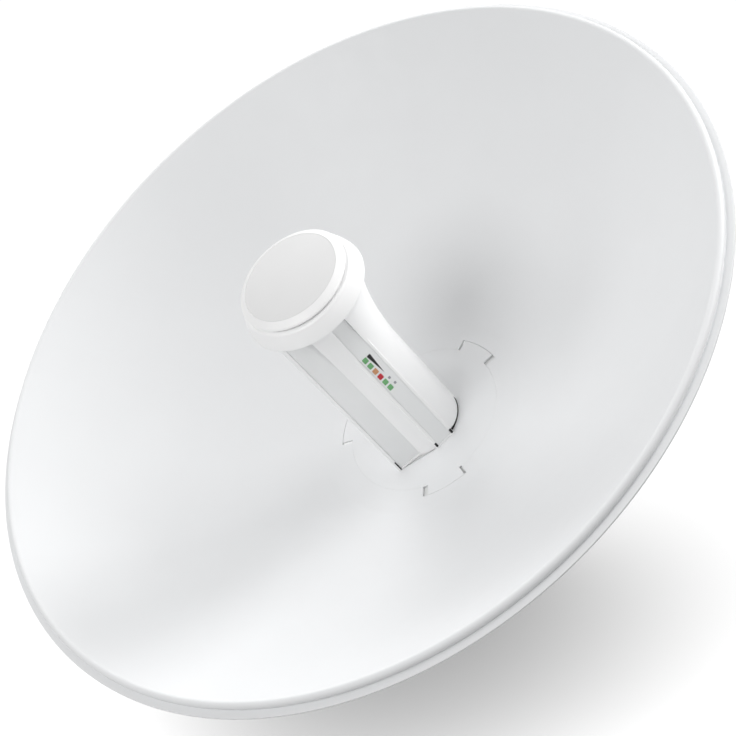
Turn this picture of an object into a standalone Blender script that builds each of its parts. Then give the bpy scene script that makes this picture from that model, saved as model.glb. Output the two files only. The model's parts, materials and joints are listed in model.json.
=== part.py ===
"""Wireless link dish antenna: a pressed parabolic reflector with a central feed, its rear housing,
and a bracket on which the head tilts.

The row frame has its origin in the middle of the mast plate's flat rear face. +Y points out of that
face, towards the mast, the dish looks towards -Y, and +Z is up. The head (dish, feed, housing and
yoke) hangs on an empty on the tilt axis, and what is turned about the dish's own axis hangs on a
second empty whose +Z runs forwards along that axis, from the flat middle of the dish.
"""

import math

import bmesh
import bpy
from mathutils import Vector

GAP = 0.0003

# Reflector: a pressed sheet with a flat middle, a rounded lip and a small turned-out flange
DISH_RADIUS = 0.210
DISH_HOLE_RADIUS = 0.0433
DISH_FLAT_RADIUS = 0.056
DISH_SHEET = 0.0012
LIP_HEIGHT = 0.0885
LIP_BEND = 0.0022
LIP_START = 1.7 * LIP_BEND
LIP_DROP = 0.28 * LIP_BEND
RIM_WALL_RADIUS = 0.2064
FLANGE_HEIGHT = 0.0840
NOTCH_RADIUS = 0.0495
NOTCH_SWEEP = math.radians(31)
NOTCH_ANGLE = math.radians(68)
NOTCH_CUT_INNER = 0.040
NOTCH_COUNT = 3

# Hub that locks into the dish's middle with a bayonet
HUB_RADIUS = 0.0430
HUB_FRONT = 0.0008
LUG_RADIUS = 0.0489
LUG_SWEEP = math.radians(24.5)
LUG_OFFSET = math.radians(1)

# Feed tube: round, with a squared side for the label panel and a raised bar for the lights
TUBE_RADIUS = 0.0212
TUBE_CENTRE = Vector((0.0010, -0.0023))
TUBE_TOP = 0.1186
NECK_START = 0.060
NECK_RADIUS = 0.0305
NECK_GROWTH = 2.2
NECK_FOOT_RADIUS = 0.99 * TUBE_RADIUS
CORNER_REACH = 0.0331
LABEL_ANGLE = math.radians(-40)
LABEL_FACE = 0.0205
LABEL_WIDTH = 0.0125
LABEL_BOTTOM = 0.002
LABEL_LIP = 0.0021
LABEL_RECESS = 0.0015
LED_ANGLE = math.radians(-31.5)
LED_FACE = 0.0240
LED_WIDTH = 0.0088
LED_BORDER = 0.0017
LED_BOTTOM = 0.002
PANEL_SHEET = 0.0010
PANEL_CUT_REACH = 0.020
PANEL_CUT_TOP = 0.130
CORNER_CUT_SIDE = 0.003
CORNER_CUT_BELOW_NECK = 0.004

# Round cap with a flat front disc on it
CAP_RADIUS = 0.0337
CAP_BOTTOM = 0.1189
CAP_UPPER_RADIUS = 0.0309
CAP_GROOVE_RADIUS = 0.0296
CAP_SHOULDER = 0.1295
CAP_EDGE = 0.0009
DISC_RADIUS = 0.0301
DISC_FLAT_RADIUS = 0.0260
DISC_TOP = 0.1343

# Signal lights on the feed's panel
GREEN = (0.20, 0.50, 0.22)
AMBER = (0.75, 0.42, 0.15)
RED = (0.62, 0.04, 0.08)
LENS_COLOURS = [GREEN, GREEN, AMBER, RED, GREEN, GREEN]
LENS_FIRST = 0.0815
LENS_PITCH = 0.0050
LENS_LENGTH = 0.0034
LENS_WIDTH = 0.0025
LENS_THICKNESS = 0.0005
LENS_SIDE = -0.0020

# Housing behind the dish
HOUSING_WIDTH = 0.084
HOUSING_HEIGHT = 0.104
HOUSING_DEPTH = 0.036
HOUSING_ROUND = 0.008
COVER_WIDTH = 0.050
COVER_DEPTH = 0.018
COVER_SHEET = 0.003
COVER_ROUND = 0.0008
GLAND_RADIUS = 0.0085
GLAND_LENGTH = 0.016

# Tilting yoke on the housing's back
PLATE_SHEET = 0.003
YOKE_WIDTH = 0.076
YOKE_HEIGHT = 0.080
YOKE_ROUND = 0.008
YOKE_SCREW_IN_X = 0.0062
YOKE_SCREW_IN_Y = 0.007
PIVOT_TO_YOKE = 0.026
EAR_INNER = 0.0237
EAR_HALF_HEIGHT = 0.015
EAR_ROOT_HALF_HEIGHT = 0.030
EAR_STRAIGHT = 0.006
EAR_TAIL_RADIUS = 0.0099
LOCK_RADIUS = 0.033

# Fixed bracket
PIVOT_TO_MAST = 0.060
CHEEK_INNER = 0.032
CHEEK_NOSE = 0.020
CHEEK_NOSE_START = math.radians(135)
CHEEK_NOSE_END = math.radians(215)
CHEEK_CORNER = 0.006
CHEEK_TOP_BACK = 0.014
CHEEK_TOP = 0.034
CHEEK_BOTTOM = 0.038
MAST_WIDTH = 0.072
MAST_HEIGHT = 0.080
MAST_SHEET = 0.004
MAST_ROUND = 0.006
MAST_SLOT_HALF_WIDTH = 0.0045
MAST_SLOT_HALF_LENGTH = 0.008
MAST_SLOT_X = 0.019
MAST_SLOT_Z = 0.031

# Bolts, all M8
BOLT_RADIUS = 0.004
BOLT_HOLE = BOLT_RADIUS + GAP
BOLT_HEAD_RADIUS = 0.009
BOLT_HEAD_HEIGHT = 0.0045
BOLT_CHAMFER = 0.0008
BOLT_END = 0.0025
NUT_ACROSS_CORNERS = 0.0150
NUT_HEIGHT = 0.0065
SPACER_RADIUS = 0.009
HOUSING_SCREW = (0.0045, 0.0028)
EARTH_SCREW = (0.0055, 0.0040)

# Tilt above the horizon: at rest as photographed, and the slot's two ends
REST_TILT = math.radians(35)
LOWEST_TILT = math.radians(0)
HIGHEST_TILT = math.radians(45)
SLOT_SPARE = math.radians(3)

# How a plate drawn flat is turned to stand on edge, and what a turned piece needs to point along x
SIDE_PLATE_TURN = (math.pi / 2, 0, math.pi / 2)
ALONG_X = (0, math.pi / 2, 0)
SIDES = [("right", 1), ("left", -1)]

DISH_STEPS = 72
TUBE_STEPS = 48
SMALL_STEPS = 16

YOKE_BACK = -(DISH_SHEET + GAP + HOUSING_DEPTH + GAP + PLATE_SHEET)
PIVOT_TO_DISH = PIVOT_TO_YOKE - YOKE_BACK
EAR_OUTER = EAR_INNER + PLATE_SHEET
CHEEK_OUTER = CHEEK_INNER + PLATE_SHEET


def clear_scene():
    for old in list(bpy.data.objects):
        bpy.data.objects.remove(old, do_unlink=True)


def new_collection(name):
    collection = bpy.data.collections.new(name)
    bpy.context.scene.collection.children.link(collection)
    return collection


def paint(name, colour, roughness, metallic=0.0):
    made = bpy.data.materials.new(name)
    made.use_nodes = True
    shader = made.node_tree.nodes["Principled BSDF"]
    shader.inputs["Base Color"].default_value = (*colour, 1.0)
    shader.inputs["Roughness"].default_value = roughness
    shader.inputs["Metallic"].default_value = metallic
    return made


def white_paint(name):
    return paint(name, (0.86, 0.87, 0.88), 0.45)


def white_plastic(name):
    return paint(name, (0.88, 0.88, 0.88), 0.35)


def zinc(name):
    return paint(name, (0.62, 0.63, 0.65), 0.35, 1.0)


class Builder:
    """Puts each finished piece into the part's collection, under the empty that carries it."""

    def __init__(self):
        self.parts = new_collection("wireless_dish_antenna")
        self.cutters = new_collection("cutters")

    def empty(self, name, location, rotation, parent=None):
        made = bpy.data.objects.new(name, None)
        made.location = location
        made.rotation_euler = rotation
        made.parent = parent
        self.parts.objects.link(made)
        return made

    def place(self, name, data, material=None, parent=None, location=(0, 0, 0), rotation=(0, 0, 0)):
        made = bpy.data.objects.new(name, data)
        made.location = location
        made.rotation_euler = rotation
        made.parent = parent
        if material:
            data.materials.append(material)
            self.parts.objects.link(made)
        else:
            made.hide_render = True
            made.display_type = "WIRE"
            self.cutters.objects.link(made)
        return made

    def cut(self, piece, cutter, operation="DIFFERENCE"):
        change = piece.modifiers.new("cut", "BOOLEAN")
        change.operation = operation
        change.solver = "EXACT"
        change.object = cutter


def line_mesh(name, points, closed):
    mesh = bpy.data.meshes.new(name)
    count = len(points)
    edges = [(i, i + 1) for i in range(count - 1)]
    if closed:
        edges.append((count - 1, 0))
    mesh.from_pydata([(r, 0.0, z) for r, z in points], edges, [])
    return mesh


def turn(piece, steps):
    spin = piece.modifiers.new("turn", "SCREW")
    spin.steps = steps
    spin.render_steps = steps
    spin.use_merge_vertices = True
    spin.merge_threshold = 0.00001
    spin.use_smooth_shade = True
    return piece


def turned(build, name, profile, steps, material=None, parent=None, closed=False, **where):
    piece = build.place(name, line_mesh(name, profile, closed), material, parent, **where)
    return turn(piece, steps)


def flat_curve(name, outlines, thickness):
    curve = bpy.data.curves.new(name, "CURVE")
    curve.dimensions = "2D"
    curve.fill_mode = "BOTH"
    curve.extrude = thickness / 2
    for outline in outlines:
        spline = curve.splines.new("POLY")
        spline.points.add(len(outline) - 1)
        for point, (x, y) in zip(spline.points, outline):
            point.co = (x, y, 0.0, 1.0)
        spline.use_cyclic_u = True
    return curve


def curve_as_mesh(build, name, outlines, thickness):
    """A solid mesh of a flat outline, for a piece that is cut or joined."""
    drawn = build.place(name + "_outline", flat_curve(name, outlines, thickness))
    bpy.context.view_layer.update()
    mesh = bpy.data.meshes.new_from_object(drawn.evaluated_get(bpy.context.evaluated_depsgraph_get()))
    bpy.data.objects.remove(drawn, do_unlink=True)
    shape = bmesh.new()
    shape.from_mesh(mesh)
    bmesh.ops.remove_doubles(shape, verts=shape.verts, dist=0.000001)
    bmesh.ops.recalc_face_normals(shape, faces=shape.faces)
    shape.to_mesh(mesh)
    shape.free()
    mesh.name = name
    return mesh


def box_mesh(name, size):
    shape = bmesh.new()
    bmesh.ops.create_cube(shape, size=1.0)
    bmesh.ops.scale(shape, vec=Vector(size), verts=shape.verts)
    mesh = bpy.data.meshes.new(name)
    shape.to_mesh(mesh)
    shape.free()
    return mesh


def round_edges(piece, width, segments):
    bevel = piece.modifiers.new("round", "BEVEL")
    bevel.width = width
    bevel.segments = segments
    bevel.limit_method = "ANGLE"
    return piece


def arc(centre, radius, start, end, steps):
    """Points on an arc in the plane, both ends included, angles in radians."""
    turns = [start + (end - start) * i / steps for i in range(steps + 1)]
    return [(centre[0] + radius * math.cos(a), centre[1] + radius * math.sin(a)) for a in turns]


def circle(radius, steps, centre=(0.0, 0.0)):
    return arc(centre, radius, 0.0, 2 * math.pi * (1 - 1 / steps), steps - 1)


def rounded_rectangle(width, height, radius, steps=4):
    points = []
    for turn_index, (sx, sy) in enumerate([(1, 1), (-1, 1), (-1, -1), (1, -1)]):
        centre = (sx * (width / 2 - radius), sy * (height / 2 - radius))
        start = turn_index * math.pi / 2
        points += arc(centre, radius, start, start + math.pi / 2, steps)
    return points


def straight_slot(centre, half_length, half_width, steps=5):
    left = (centre[0] - half_length + half_width, centre[1])
    right = (centre[0] + half_length - half_width, centre[1])
    end = arc(right, half_width, -math.pi / 2, math.pi / 2, steps)
    return end + arc(left, half_width, math.pi / 2, 3 * math.pi / 2, steps)


def curved_slot(radius, start, end, half_width, steps=12):
    """A slot along an arc about the origin, with round ends."""
    far = (radius * math.cos(end), radius * math.sin(end))
    near = (radius * math.cos(start), radius * math.sin(start))
    points = arc((0, 0), radius + half_width, start, end, steps)
    points += arc(far, half_width, end, end + math.pi, 5)[1:-1]
    points += arc((0, 0), radius - half_width, end, start, steps)
    points += arc(near, half_width, start + math.pi, start + 2 * math.pi, 5)[1:-1]
    return points


def across(radius, angle):
    """A point or direction in the plane across the dish's axis: x to the right, y up."""
    return Vector((radius * math.cos(angle), radius * math.sin(angle)))


def facing_and_along(angle):
    """Directions out of a flat side of the feed tube and along it, across the dish's axis."""
    facing = across(1.0, angle)
    return facing, Vector((-facing.y, facing.x))


def bowl_focus():
    """Focal length of the bowl that runs from the flat middle's edge to the start of the lip."""
    lip_start = RIM_WALL_RADIUS - LIP_START
    return (lip_start ** 2 - DISH_FLAT_RADIUS ** 2) / (4 * (LIP_HEIGHT - LIP_DROP))


def bowl_height(radius, focus):
    return (radius ** 2 - DISH_FLAT_RADIUS ** 2) / (4 * focus)


def dish_profile():
    """Closed section of the sheet, out along its front and back along its rear."""
    focus = bowl_focus()
    bend_centre = (RIM_WALL_RADIUS - LIP_BEND, LIP_HEIGHT - LIP_BEND)
    slope_end = math.atan((RIM_WALL_RADIUS - LIP_START) / (2 * focus))
    bend_start = math.pi / 2 + slope_end
    inner_end = bend_centre[0] + LIP_BEND * math.cos(bend_start)
    front = [(DISH_HOLE_RADIUS, 0.0)]
    rear = [(DISH_HOLE_RADIUS, -DISH_SHEET)]
    bowl_steps = 10
    for i in range(bowl_steps):
        radius = DISH_FLAT_RADIUS + (inner_end - DISH_FLAT_RADIUS) * i / bowl_steps
        slope = math.atan(radius / (2 * focus)) if i else 0.0
        height = bowl_height(radius, focus)
        front.append((radius, height))
        rear.append((radius + DISH_SHEET * math.sin(slope), height - DISH_SHEET * math.cos(slope)))
    front += arc(bend_centre, LIP_BEND, bend_start, 0.0, 5)
    rear += arc(bend_centre, LIP_BEND - DISH_SHEET, bend_start, 0.0, 3)
    fillet = DISH_SHEET / 2
    front += arc((RIM_WALL_RADIUS + fillet, FLANGE_HEIGHT + fillet), fillet, math.pi, 1.5 * math.pi, 2)
    front += [(DISH_RADIUS, FLANGE_HEIGHT)]
    outer_fillet = fillet + DISH_SHEET
    centre = (RIM_WALL_RADIUS + fillet, FLANGE_HEIGHT + fillet)
    rear += arc(centre, outer_fillet, math.pi, 1.5 * math.pi, 3)
    rear += [(DISH_RADIUS, FLANGE_HEIGHT - DISH_SHEET)]
    return front + rear[::-1]


def make_dish(build, axis):
    dish = turned(build, "reflector_dish", dish_profile(), DISH_STEPS, white_paint("dish_paint"), axis,
                  closed=True)
    outlines = []
    for index in range(NOTCH_COUNT):
        middle = NOTCH_ANGLE + index * 2 * math.pi / NOTCH_COUNT
        start = middle - NOTCH_SWEEP / 2
        end = middle + NOTCH_SWEEP / 2
        outer_side = arc((0, 0), NOTCH_RADIUS, start, end, 6)
        inner_side = arc((0, 0), NOTCH_CUT_INNER, end, start, 6)
        outlines.append(outer_side + inner_side)
    notch_mesh = curve_as_mesh(build, "notches", outlines, 8 * DISH_SHEET)
    notches = build.place("notch_cutter", notch_mesh, parent=axis)
    build.cut(dish, notches)


def make_hub(build, axis):
    outline = []
    spacing = 2 * math.pi / NOTCH_COUNT
    for index in range(NOTCH_COUNT):
        middle = NOTCH_ANGLE + LUG_OFFSET + index * spacing
        start = middle - LUG_SWEEP / 2
        end = middle + LUG_SWEEP / 2
        outline += arc((0, 0), LUG_RADIUS, start, end, 6)
        outline += arc((0, 0), HUB_RADIUS, end, start + spacing, 18)
    thickness = HUB_FRONT + DISH_SHEET
    curve = flat_curve("hub_plate", [outline], thickness)
    build.place("hub_plate", curve, white_plastic("hub_plastic"), axis,
                location=(0, 0, HUB_FRONT - thickness / 2))


def corner_reach_along():
    """How far the squared side's corner lies along its face, from the foot of the perpendicular."""
    return math.sqrt(CORNER_REACH ** 2 - LABEL_FACE ** 2)


def label_side():
    """Distance of the side panel's middle from the foot of the perpendicular on its face."""
    return -corner_reach_along() + LABEL_LIP + LABEL_WIDTH / 2


def on_round_side(angle, side):
    """Point of the round tube, side away from the line that runs out from the axis at an angle."""
    facing, along = facing_and_along(angle)
    reach = math.sqrt(TUBE_RADIUS ** 2 - (side - along.dot(TUBE_CENTRE)) ** 2)
    return facing * (facing.dot(TUBE_CENTRE) + reach) + along * side


def turn_about_tube(point):
    offset = Vector(point) - TUBE_CENTRE
    return math.atan2(offset.y, offset.x)


def tube_outline():
    """Round tube with a squared side and a raised bar.

    It runs from the bar's far foot round the back to the squared side's corner, along that side until
    it meets the round tube, and over the bar.
    """
    facing, along = facing_and_along(LABEL_ANGLE)
    corner = facing * LABEL_FACE - along * corner_reach_along()
    out = corner - TUBE_CENTRE
    tangent = turn_about_tube(corner) - math.acos(TUBE_RADIUS / out.length) + 2 * math.pi
    depth = LABEL_FACE - facing.dot(TUBE_CENTRE)
    meeting_side = along.dot(TUBE_CENTRE) - math.sqrt(TUBE_RADIUS ** 2 - depth ** 2)
    meeting = facing * LABEL_FACE + along * meeting_side
    half_bar = LED_WIDTH / 2 + LED_BORDER
    near_foot = on_round_side(LED_ANGLE, -half_bar)
    far_foot = on_round_side(LED_ANGLE, half_bar)
    led_facing, led_along = facing_and_along(LED_ANGLE)
    bar = [led_facing * LED_FACE - led_along * half_bar, led_facing * LED_FACE + led_along * half_bar]
    points = arc(TUBE_CENTRE, TUBE_RADIUS, turn_about_tube(far_foot), tangent, TUBE_STEPS)
    points += [tuple(corner)]
    points += arc(TUBE_CENTRE, TUBE_RADIUS, turn_about_tube(meeting), turn_about_tube(near_foot), 4)
    return points + [tuple(point) for point in bar]


def neck_mesh(name):
    """Flare that takes the round tube out to the cap's width and onto the dish's axis."""
    steps = 7
    shape = bmesh.new()
    rings = []
    for i in range(steps + 1):
        share = (i / steps) ** NECK_GROWTH
        radius = NECK_FOOT_RADIUS + (NECK_RADIUS - NECK_FOOT_RADIUS) * share
        height = NECK_START + (TUBE_TOP - NECK_START) * i / steps
        points = circle(radius, TUBE_STEPS, TUBE_CENTRE * (1 - share))
        rings.append([shape.verts.new((x, y, height)) for x, y in points])
    for low, high in zip(rings, rings[1:]):
        for i in range(TUBE_STEPS):
            j = (i + 1) % TUBE_STEPS
            shape.faces.new((low[i], low[j], high[j], high[i]))
    shape.faces.new(rings[0][::-1])
    shape.faces.new(rings[-1])
    mesh = bpy.data.meshes.new(name)
    shape.to_mesh(mesh)
    shape.free()
    return mesh


def panel_cutter(build, name, angle, seat, bottom, width, side, axis):
    """Box that clears everything in front of a panel's seat, up past the top of the tube."""
    facing, along = facing_and_along(angle)
    centre = facing * (seat + PANEL_CUT_REACH / 2) + along * side
    mesh = box_mesh(name, (PANEL_CUT_REACH, width, PANEL_CUT_TOP - bottom))
    return build.place(name, mesh, parent=axis, location=(centre.x, centre.y, (PANEL_CUT_TOP + bottom) / 2),
                       rotation=(0, 0, angle))


def make_feed_tube(build, axis):
    foot = HUB_FRONT + GAP
    length = TUBE_TOP - GAP - foot
    mesh = curve_as_mesh(build, "feed_tube", [tube_outline()], length)
    tube = build.place("feed_tube", mesh, white_plastic("tube_plastic"), axis,
                       location=(0, 0, foot + length / 2))
    neck = build.place("neck_joiner", neck_mesh("neck_joiner"), parent=axis)
    build.cut(tube, neck, "UNION")
    label_seat = LABEL_FACE - LABEL_RECESS - PANEL_SHEET
    build.cut(tube, panel_cutter(build, "label_cutter", LABEL_ANGLE, label_seat, LABEL_BOTTOM,
                                 LABEL_WIDTH, label_side(), axis))
    build.cut(tube, panel_cutter(build, "label_front_cutter", LABEL_ANGLE, LABEL_FACE + GAP,
                                 NECK_START - CORNER_CUT_BELOW_NECK, LABEL_WIDTH + 2 * CORNER_CUT_SIDE,
                                 label_side() - CORNER_CUT_SIDE, axis))
    build.cut(tube, panel_cutter(build, "led_cutter", LED_ANGLE, LED_FACE - PANEL_SHEET, LED_BOTTOM,
                                 LED_WIDTH, 0.0, axis))


def make_panel(build, name, angle, face, bottom, width, side, material, axis):
    facing, along = facing_and_along(angle)
    thickness = PANEL_SHEET - GAP
    top = TUBE_TOP - GAP
    centre = facing * (face - thickness / 2) + along * side
    size = (thickness, width - 2 * GAP, top - bottom - GAP)
    build.place(name, box_mesh(name, size), material, axis,
                location=(centre.x, centre.y, (top + bottom + GAP) / 2), rotation=(0, 0, angle))


def make_feed_panels(build, axis):
    make_panel(build, "label_panel", LABEL_ANGLE, LABEL_FACE - LABEL_RECESS, LABEL_BOTTOM, LABEL_WIDTH,
               label_side(), paint("label_plastic", (0.80, 0.81, 0.82), 0.5), axis)
    make_panel(build, "led_panel", LED_ANGLE, LED_FACE, LED_BOTTOM, LED_WIDTH, 0.0,
               paint("led_panel_plastic", (0.82, 0.83, 0.84), 0.3), axis)


def make_lenses(build, axis):
    facing, along = facing_and_along(LED_ANGLE)
    centre = facing * (LED_FACE + GAP + LENS_THICKNESS / 2) + along * LENS_SIDE
    for index, colour in enumerate(LENS_COLOURS):
        name = f"led_lens_{index + 1}"
        mesh = box_mesh(name, (LENS_THICKNESS, LENS_WIDTH, LENS_LENGTH))
        build.place(name, mesh, paint(name + "_plastic", colour, 0.25), axis,
                    location=(centre.x, centre.y, LENS_FIRST - index * LENS_PITCH),
                    rotation=(0, 0, LED_ANGLE))


def make_cap(build, axis):
    edge = CAP_EDGE
    profile = [(0.0, CAP_SHOULDER), (CAP_GROOVE_RADIUS, CAP_SHOULDER)]
    profile += [(CAP_UPPER_RADIUS, CAP_SHOULDER - edge), (CAP_RADIUS, CAP_BOTTOM + edge)]
    profile += [(CAP_RADIUS - edge, CAP_BOTTOM), (0.0, CAP_BOTTOM)]
    turned(build, "feed_cap", profile, TUBE_STEPS, white_plastic("cap_plastic"), axis)
    base = CAP_SHOULDER + GAP
    disc = [(0.0, DISC_TOP), (DISC_FLAT_RADIUS, DISC_TOP), (DISC_RADIUS - edge, DISC_TOP - 2 * edge)]
    disc += [(DISC_RADIUS, DISC_TOP - 3 * edge), (DISC_RADIUS, base), (0.0, base)]
    turned(build, "feed_cap_face", disc, TUBE_STEPS, white_plastic("cap_face_plastic"), axis)


def make_housing(build, axis):
    front = -(DISH_SHEET + GAP)
    bottom = -HOUSING_HEIGHT / 2 - GAP
    middle = front - HOUSING_DEPTH / 2
    box = box_mesh("rear_housing", (HOUSING_WIDTH, HOUSING_HEIGHT, HOUSING_DEPTH))
    housing = build.place("rear_housing", box, white_plastic("housing_plastic"), axis,
                          location=(0, 0, middle))
    round_edges(housing, HOUSING_ROUND, 3)
    size = (COVER_WIDTH, COVER_SHEET, COVER_DEPTH)
    cover = build.place("port_cover", box_mesh("port_cover", size), white_plastic("cover_plastic"), axis,
                        location=(0, bottom - COVER_SHEET / 2, middle))
    round_edges(cover, COVER_ROUND, 2)
    radius = GLAND_RADIUS
    length = GLAND_LENGTH
    profile = [(0.0, length), (radius * 0.45, length), (radius * 0.8, length * 0.8), (radius, length * 0.62)]
    profile += [(radius, length * 0.2), (radius * 0.85, length * 0.15), (radius * 0.85, 0.0), (0.0, 0.0)]
    turned(build, "cable_gland", profile, 12, paint("gland_rubber", (0.08, 0.08, 0.085), 0.6), axis,
           location=(0, bottom - COVER_SHEET - GAP, middle), rotation=(math.pi / 2, 0, 0))


def screw_head_profile(radius, height):
    return [(0.0, height), (radius * 0.45, height), (radius * 0.8, height * 0.75), (radius, height * 0.3),
            (radius, 0.0), (0.0, 0.0)]


def make_yoke(build, head, axis):
    front = -(DISH_SHEET + GAP + HOUSING_DEPTH + GAP)
    outline = rounded_rectangle(YOKE_WIDTH, YOKE_HEIGHT, YOKE_ROUND)
    build.place("yoke_plate", flat_curve("yoke_plate", [outline], PLATE_SHEET), zinc("yoke_steel"), axis,
                location=(0, 0, front - PLATE_SHEET / 2))
    for side, x in SIDES:
        curve = flat_curve("yoke_ear", ear_outlines(), PLATE_SHEET)
        build.place(f"yoke_ear_{side}", curve, zinc(f"ear_{side}_steel"), head,
                    location=(x * (EAR_INNER + PLATE_SHEET / 2), 0, 0), rotation=SIDE_PLATE_TURN)
    back = front - PLATE_SHEET - GAP
    screw_x = YOKE_WIDTH / 2 - YOKE_SCREW_IN_X
    screw_y = YOKE_HEIGHT / 2 - YOKE_SCREW_IN_Y
    places = [(screw_x, screw_y), (-screw_x, screw_y), (-screw_x, -screw_y), (screw_x, -screw_y)]
    for index, (x, y) in enumerate(places):
        name = f"housing_screw_{index + 1}"
        turned(build, name, screw_head_profile(*HOUSING_SCREW), 12, zinc(name + "_steel"), axis,
               location=(x, y, back), rotation=(math.pi, 0, 0))
    brass = paint("earth_screw_brass", (0.7, 0.55, 0.25), 0.35, 1.0)
    turned(build, "earth_screw", screw_head_profile(*EARTH_SCREW), 6, brass, axis,
           location=(0, -screw_y, back), rotation=(math.pi, 0, 0))


def ear_outlines():
    """Side view of an ear about the pivot: back is +x, up is +y."""
    root = -(PIVOT_TO_YOKE - GAP)
    outline = arc((LOCK_RADIUS, 0.0), EAR_TAIL_RADIUS, -math.pi / 2, math.pi / 2, 8)
    outline += [(EAR_STRAIGHT, EAR_HALF_HEIGHT), (-EAR_STRAIGHT, EAR_HALF_HEIGHT)]
    outline += [(root, EAR_ROOT_HALF_HEIGHT), (root, -EAR_ROOT_HALF_HEIGHT)]
    outline += [(-EAR_STRAIGHT, -EAR_HALF_HEIGHT), (EAR_STRAIGHT, -EAR_HALF_HEIGHT)]
    return [outline, circle(BOLT_HOLE, SMALL_STEPS), circle(BOLT_HOLE, SMALL_STEPS, (LOCK_RADIUS, 0.0))]


def cheek_outlines():
    """Side view of a cheek about the pivot: back is +x, up is +y."""
    rear = PIVOT_TO_MAST - MAST_SHEET - GAP
    outline = arc((0, 0), CHEEK_NOSE, CHEEK_NOSE_START, CHEEK_NOSE_END, 8)
    outline += [(0.0, -CHEEK_BOTTOM + CHEEK_CORNER), (CHEEK_CORNER, -CHEEK_BOTTOM), (rear, -CHEEK_BOTTOM)]
    outline += [(rear, CHEEK_TOP), (CHEEK_TOP_BACK, CHEEK_TOP)]
    slot = curved_slot(LOCK_RADIUS, -HIGHEST_TILT - SLOT_SPARE, -LOWEST_TILT + SLOT_SPARE,
                       BOLT_RADIUS + 2 * GAP)
    return [outline, circle(BOLT_HOLE, SMALL_STEPS), slot]


def nut_outlines():
    return [circle(NUT_ACROSS_CORNERS / 2, 6), circle(BOLT_HOLE, SMALL_STEPS)]


def spacer_outlines():
    return [circle(SPACER_RADIUS, SMALL_STEPS), circle(BOLT_HOLE, SMALL_STEPS)]


def carriage_bolt_profile(reach):
    """Round-headed bolt along +z: the head's underside at zero, the shank's end below it."""
    head = BOLT_HEAD_HEIGHT
    profile = [(0.0, head), (BOLT_HEAD_RADIUS * 0.5, head * 0.85), (BOLT_HEAD_RADIUS * 0.88, head * 0.45)]
    profile += [(BOLT_HEAD_RADIUS, 0.0), (BOLT_RADIUS, 0.0), (BOLT_RADIUS, -reach + BOLT_CHAMFER)]
    profile += [(BOLT_RADIUS - BOLT_CHAMFER, -reach), (0.0, -reach)]
    return profile


def make_pivot(build, tilt_axis):
    start = CHEEK_OUTER + GAP
    reach = 2 * start + NUT_HEIGHT + BOLT_END
    turned(build, "pivot_bolt", carriage_bolt_profile(reach), SMALL_STEPS, zinc("pivot_bolt_steel"),
           tilt_axis, location=(start, 0, 0), rotation=ALONG_X)
    nut = flat_curve("pivot_nut", nut_outlines(), NUT_HEIGHT)
    build.place("pivot_nut", nut, zinc("pivot_nut_steel"), tilt_axis,
                location=(-start - NUT_HEIGHT / 2, 0, 0), rotation=ALONG_X)
    length = CHEEK_INNER - EAR_OUTER - 2 * GAP
    for side, x in SIDES:
        ring = flat_curve("pivot_spacer", spacer_outlines(), length)
        build.place(f"pivot_spacer_{side}", ring, zinc(f"pivot_spacer_{side}_steel"), tilt_axis,
                    location=(x * (CHEEK_INNER + EAR_OUTER) / 2, 0, 0), rotation=ALONG_X)


def make_locks(build, head):
    """A bolt on each side that clamps the ear to the cheek through the cheek's curved slot."""
    start = CHEEK_OUTER + GAP
    reach = start - EAR_INNER + GAP + NUT_HEIGHT + BOLT_END
    length = CHEEK_INNER - EAR_OUTER - 2 * GAP
    for side, x in SIDES:
        outwards = (0, x * math.pi / 2, 0)
        turned(build, f"lock_bolt_{side}", carriage_bolt_profile(reach), SMALL_STEPS,
               zinc(f"lock_bolt_{side}_steel"), head, location=(x * start, LOCK_RADIUS, 0), rotation=outwards)
        nut = flat_curve("lock_nut", nut_outlines(), NUT_HEIGHT)
        build.place(f"lock_nut_{side}", nut, zinc(f"lock_nut_{side}_steel"), head,
                    location=(x * (EAR_INNER - GAP - NUT_HEIGHT / 2), LOCK_RADIUS, 0), rotation=ALONG_X)
        ring = flat_curve("lock_spacer", spacer_outlines(), length)
        build.place(f"lock_spacer_{side}", ring, zinc(f"lock_spacer_{side}_steel"), head,
                    location=(x * (CHEEK_INNER + EAR_OUTER) / 2, LOCK_RADIUS, 0), rotation=ALONG_X)


def make_bracket(build, tilt_axis):
    for side, x in SIDES:
        curve = flat_curve("bracket_cheek", cheek_outlines(), PLATE_SHEET)
        build.place(f"bracket_cheek_{side}", curve, zinc(f"cheek_{side}_steel"), tilt_axis,
                    location=(x * (CHEEK_INNER + PLATE_SHEET / 2), 0, 0), rotation=SIDE_PLATE_TURN)
    outlines = [rounded_rectangle(MAST_WIDTH, MAST_HEIGHT, MAST_ROUND)]
    for x in (-MAST_SLOT_X, MAST_SLOT_X):
        for z in (-MAST_SLOT_Z, MAST_SLOT_Z):
            outlines.append(straight_slot((x, z), MAST_SLOT_HALF_LENGTH, MAST_SLOT_HALF_WIDTH))
    build.place("mast_plate", flat_curve("mast_plate", outlines, MAST_SHEET), zinc("mast_plate_steel"),
                location=(0, -MAST_SHEET / 2, 0), rotation=(math.pi / 2, 0, 0))


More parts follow.
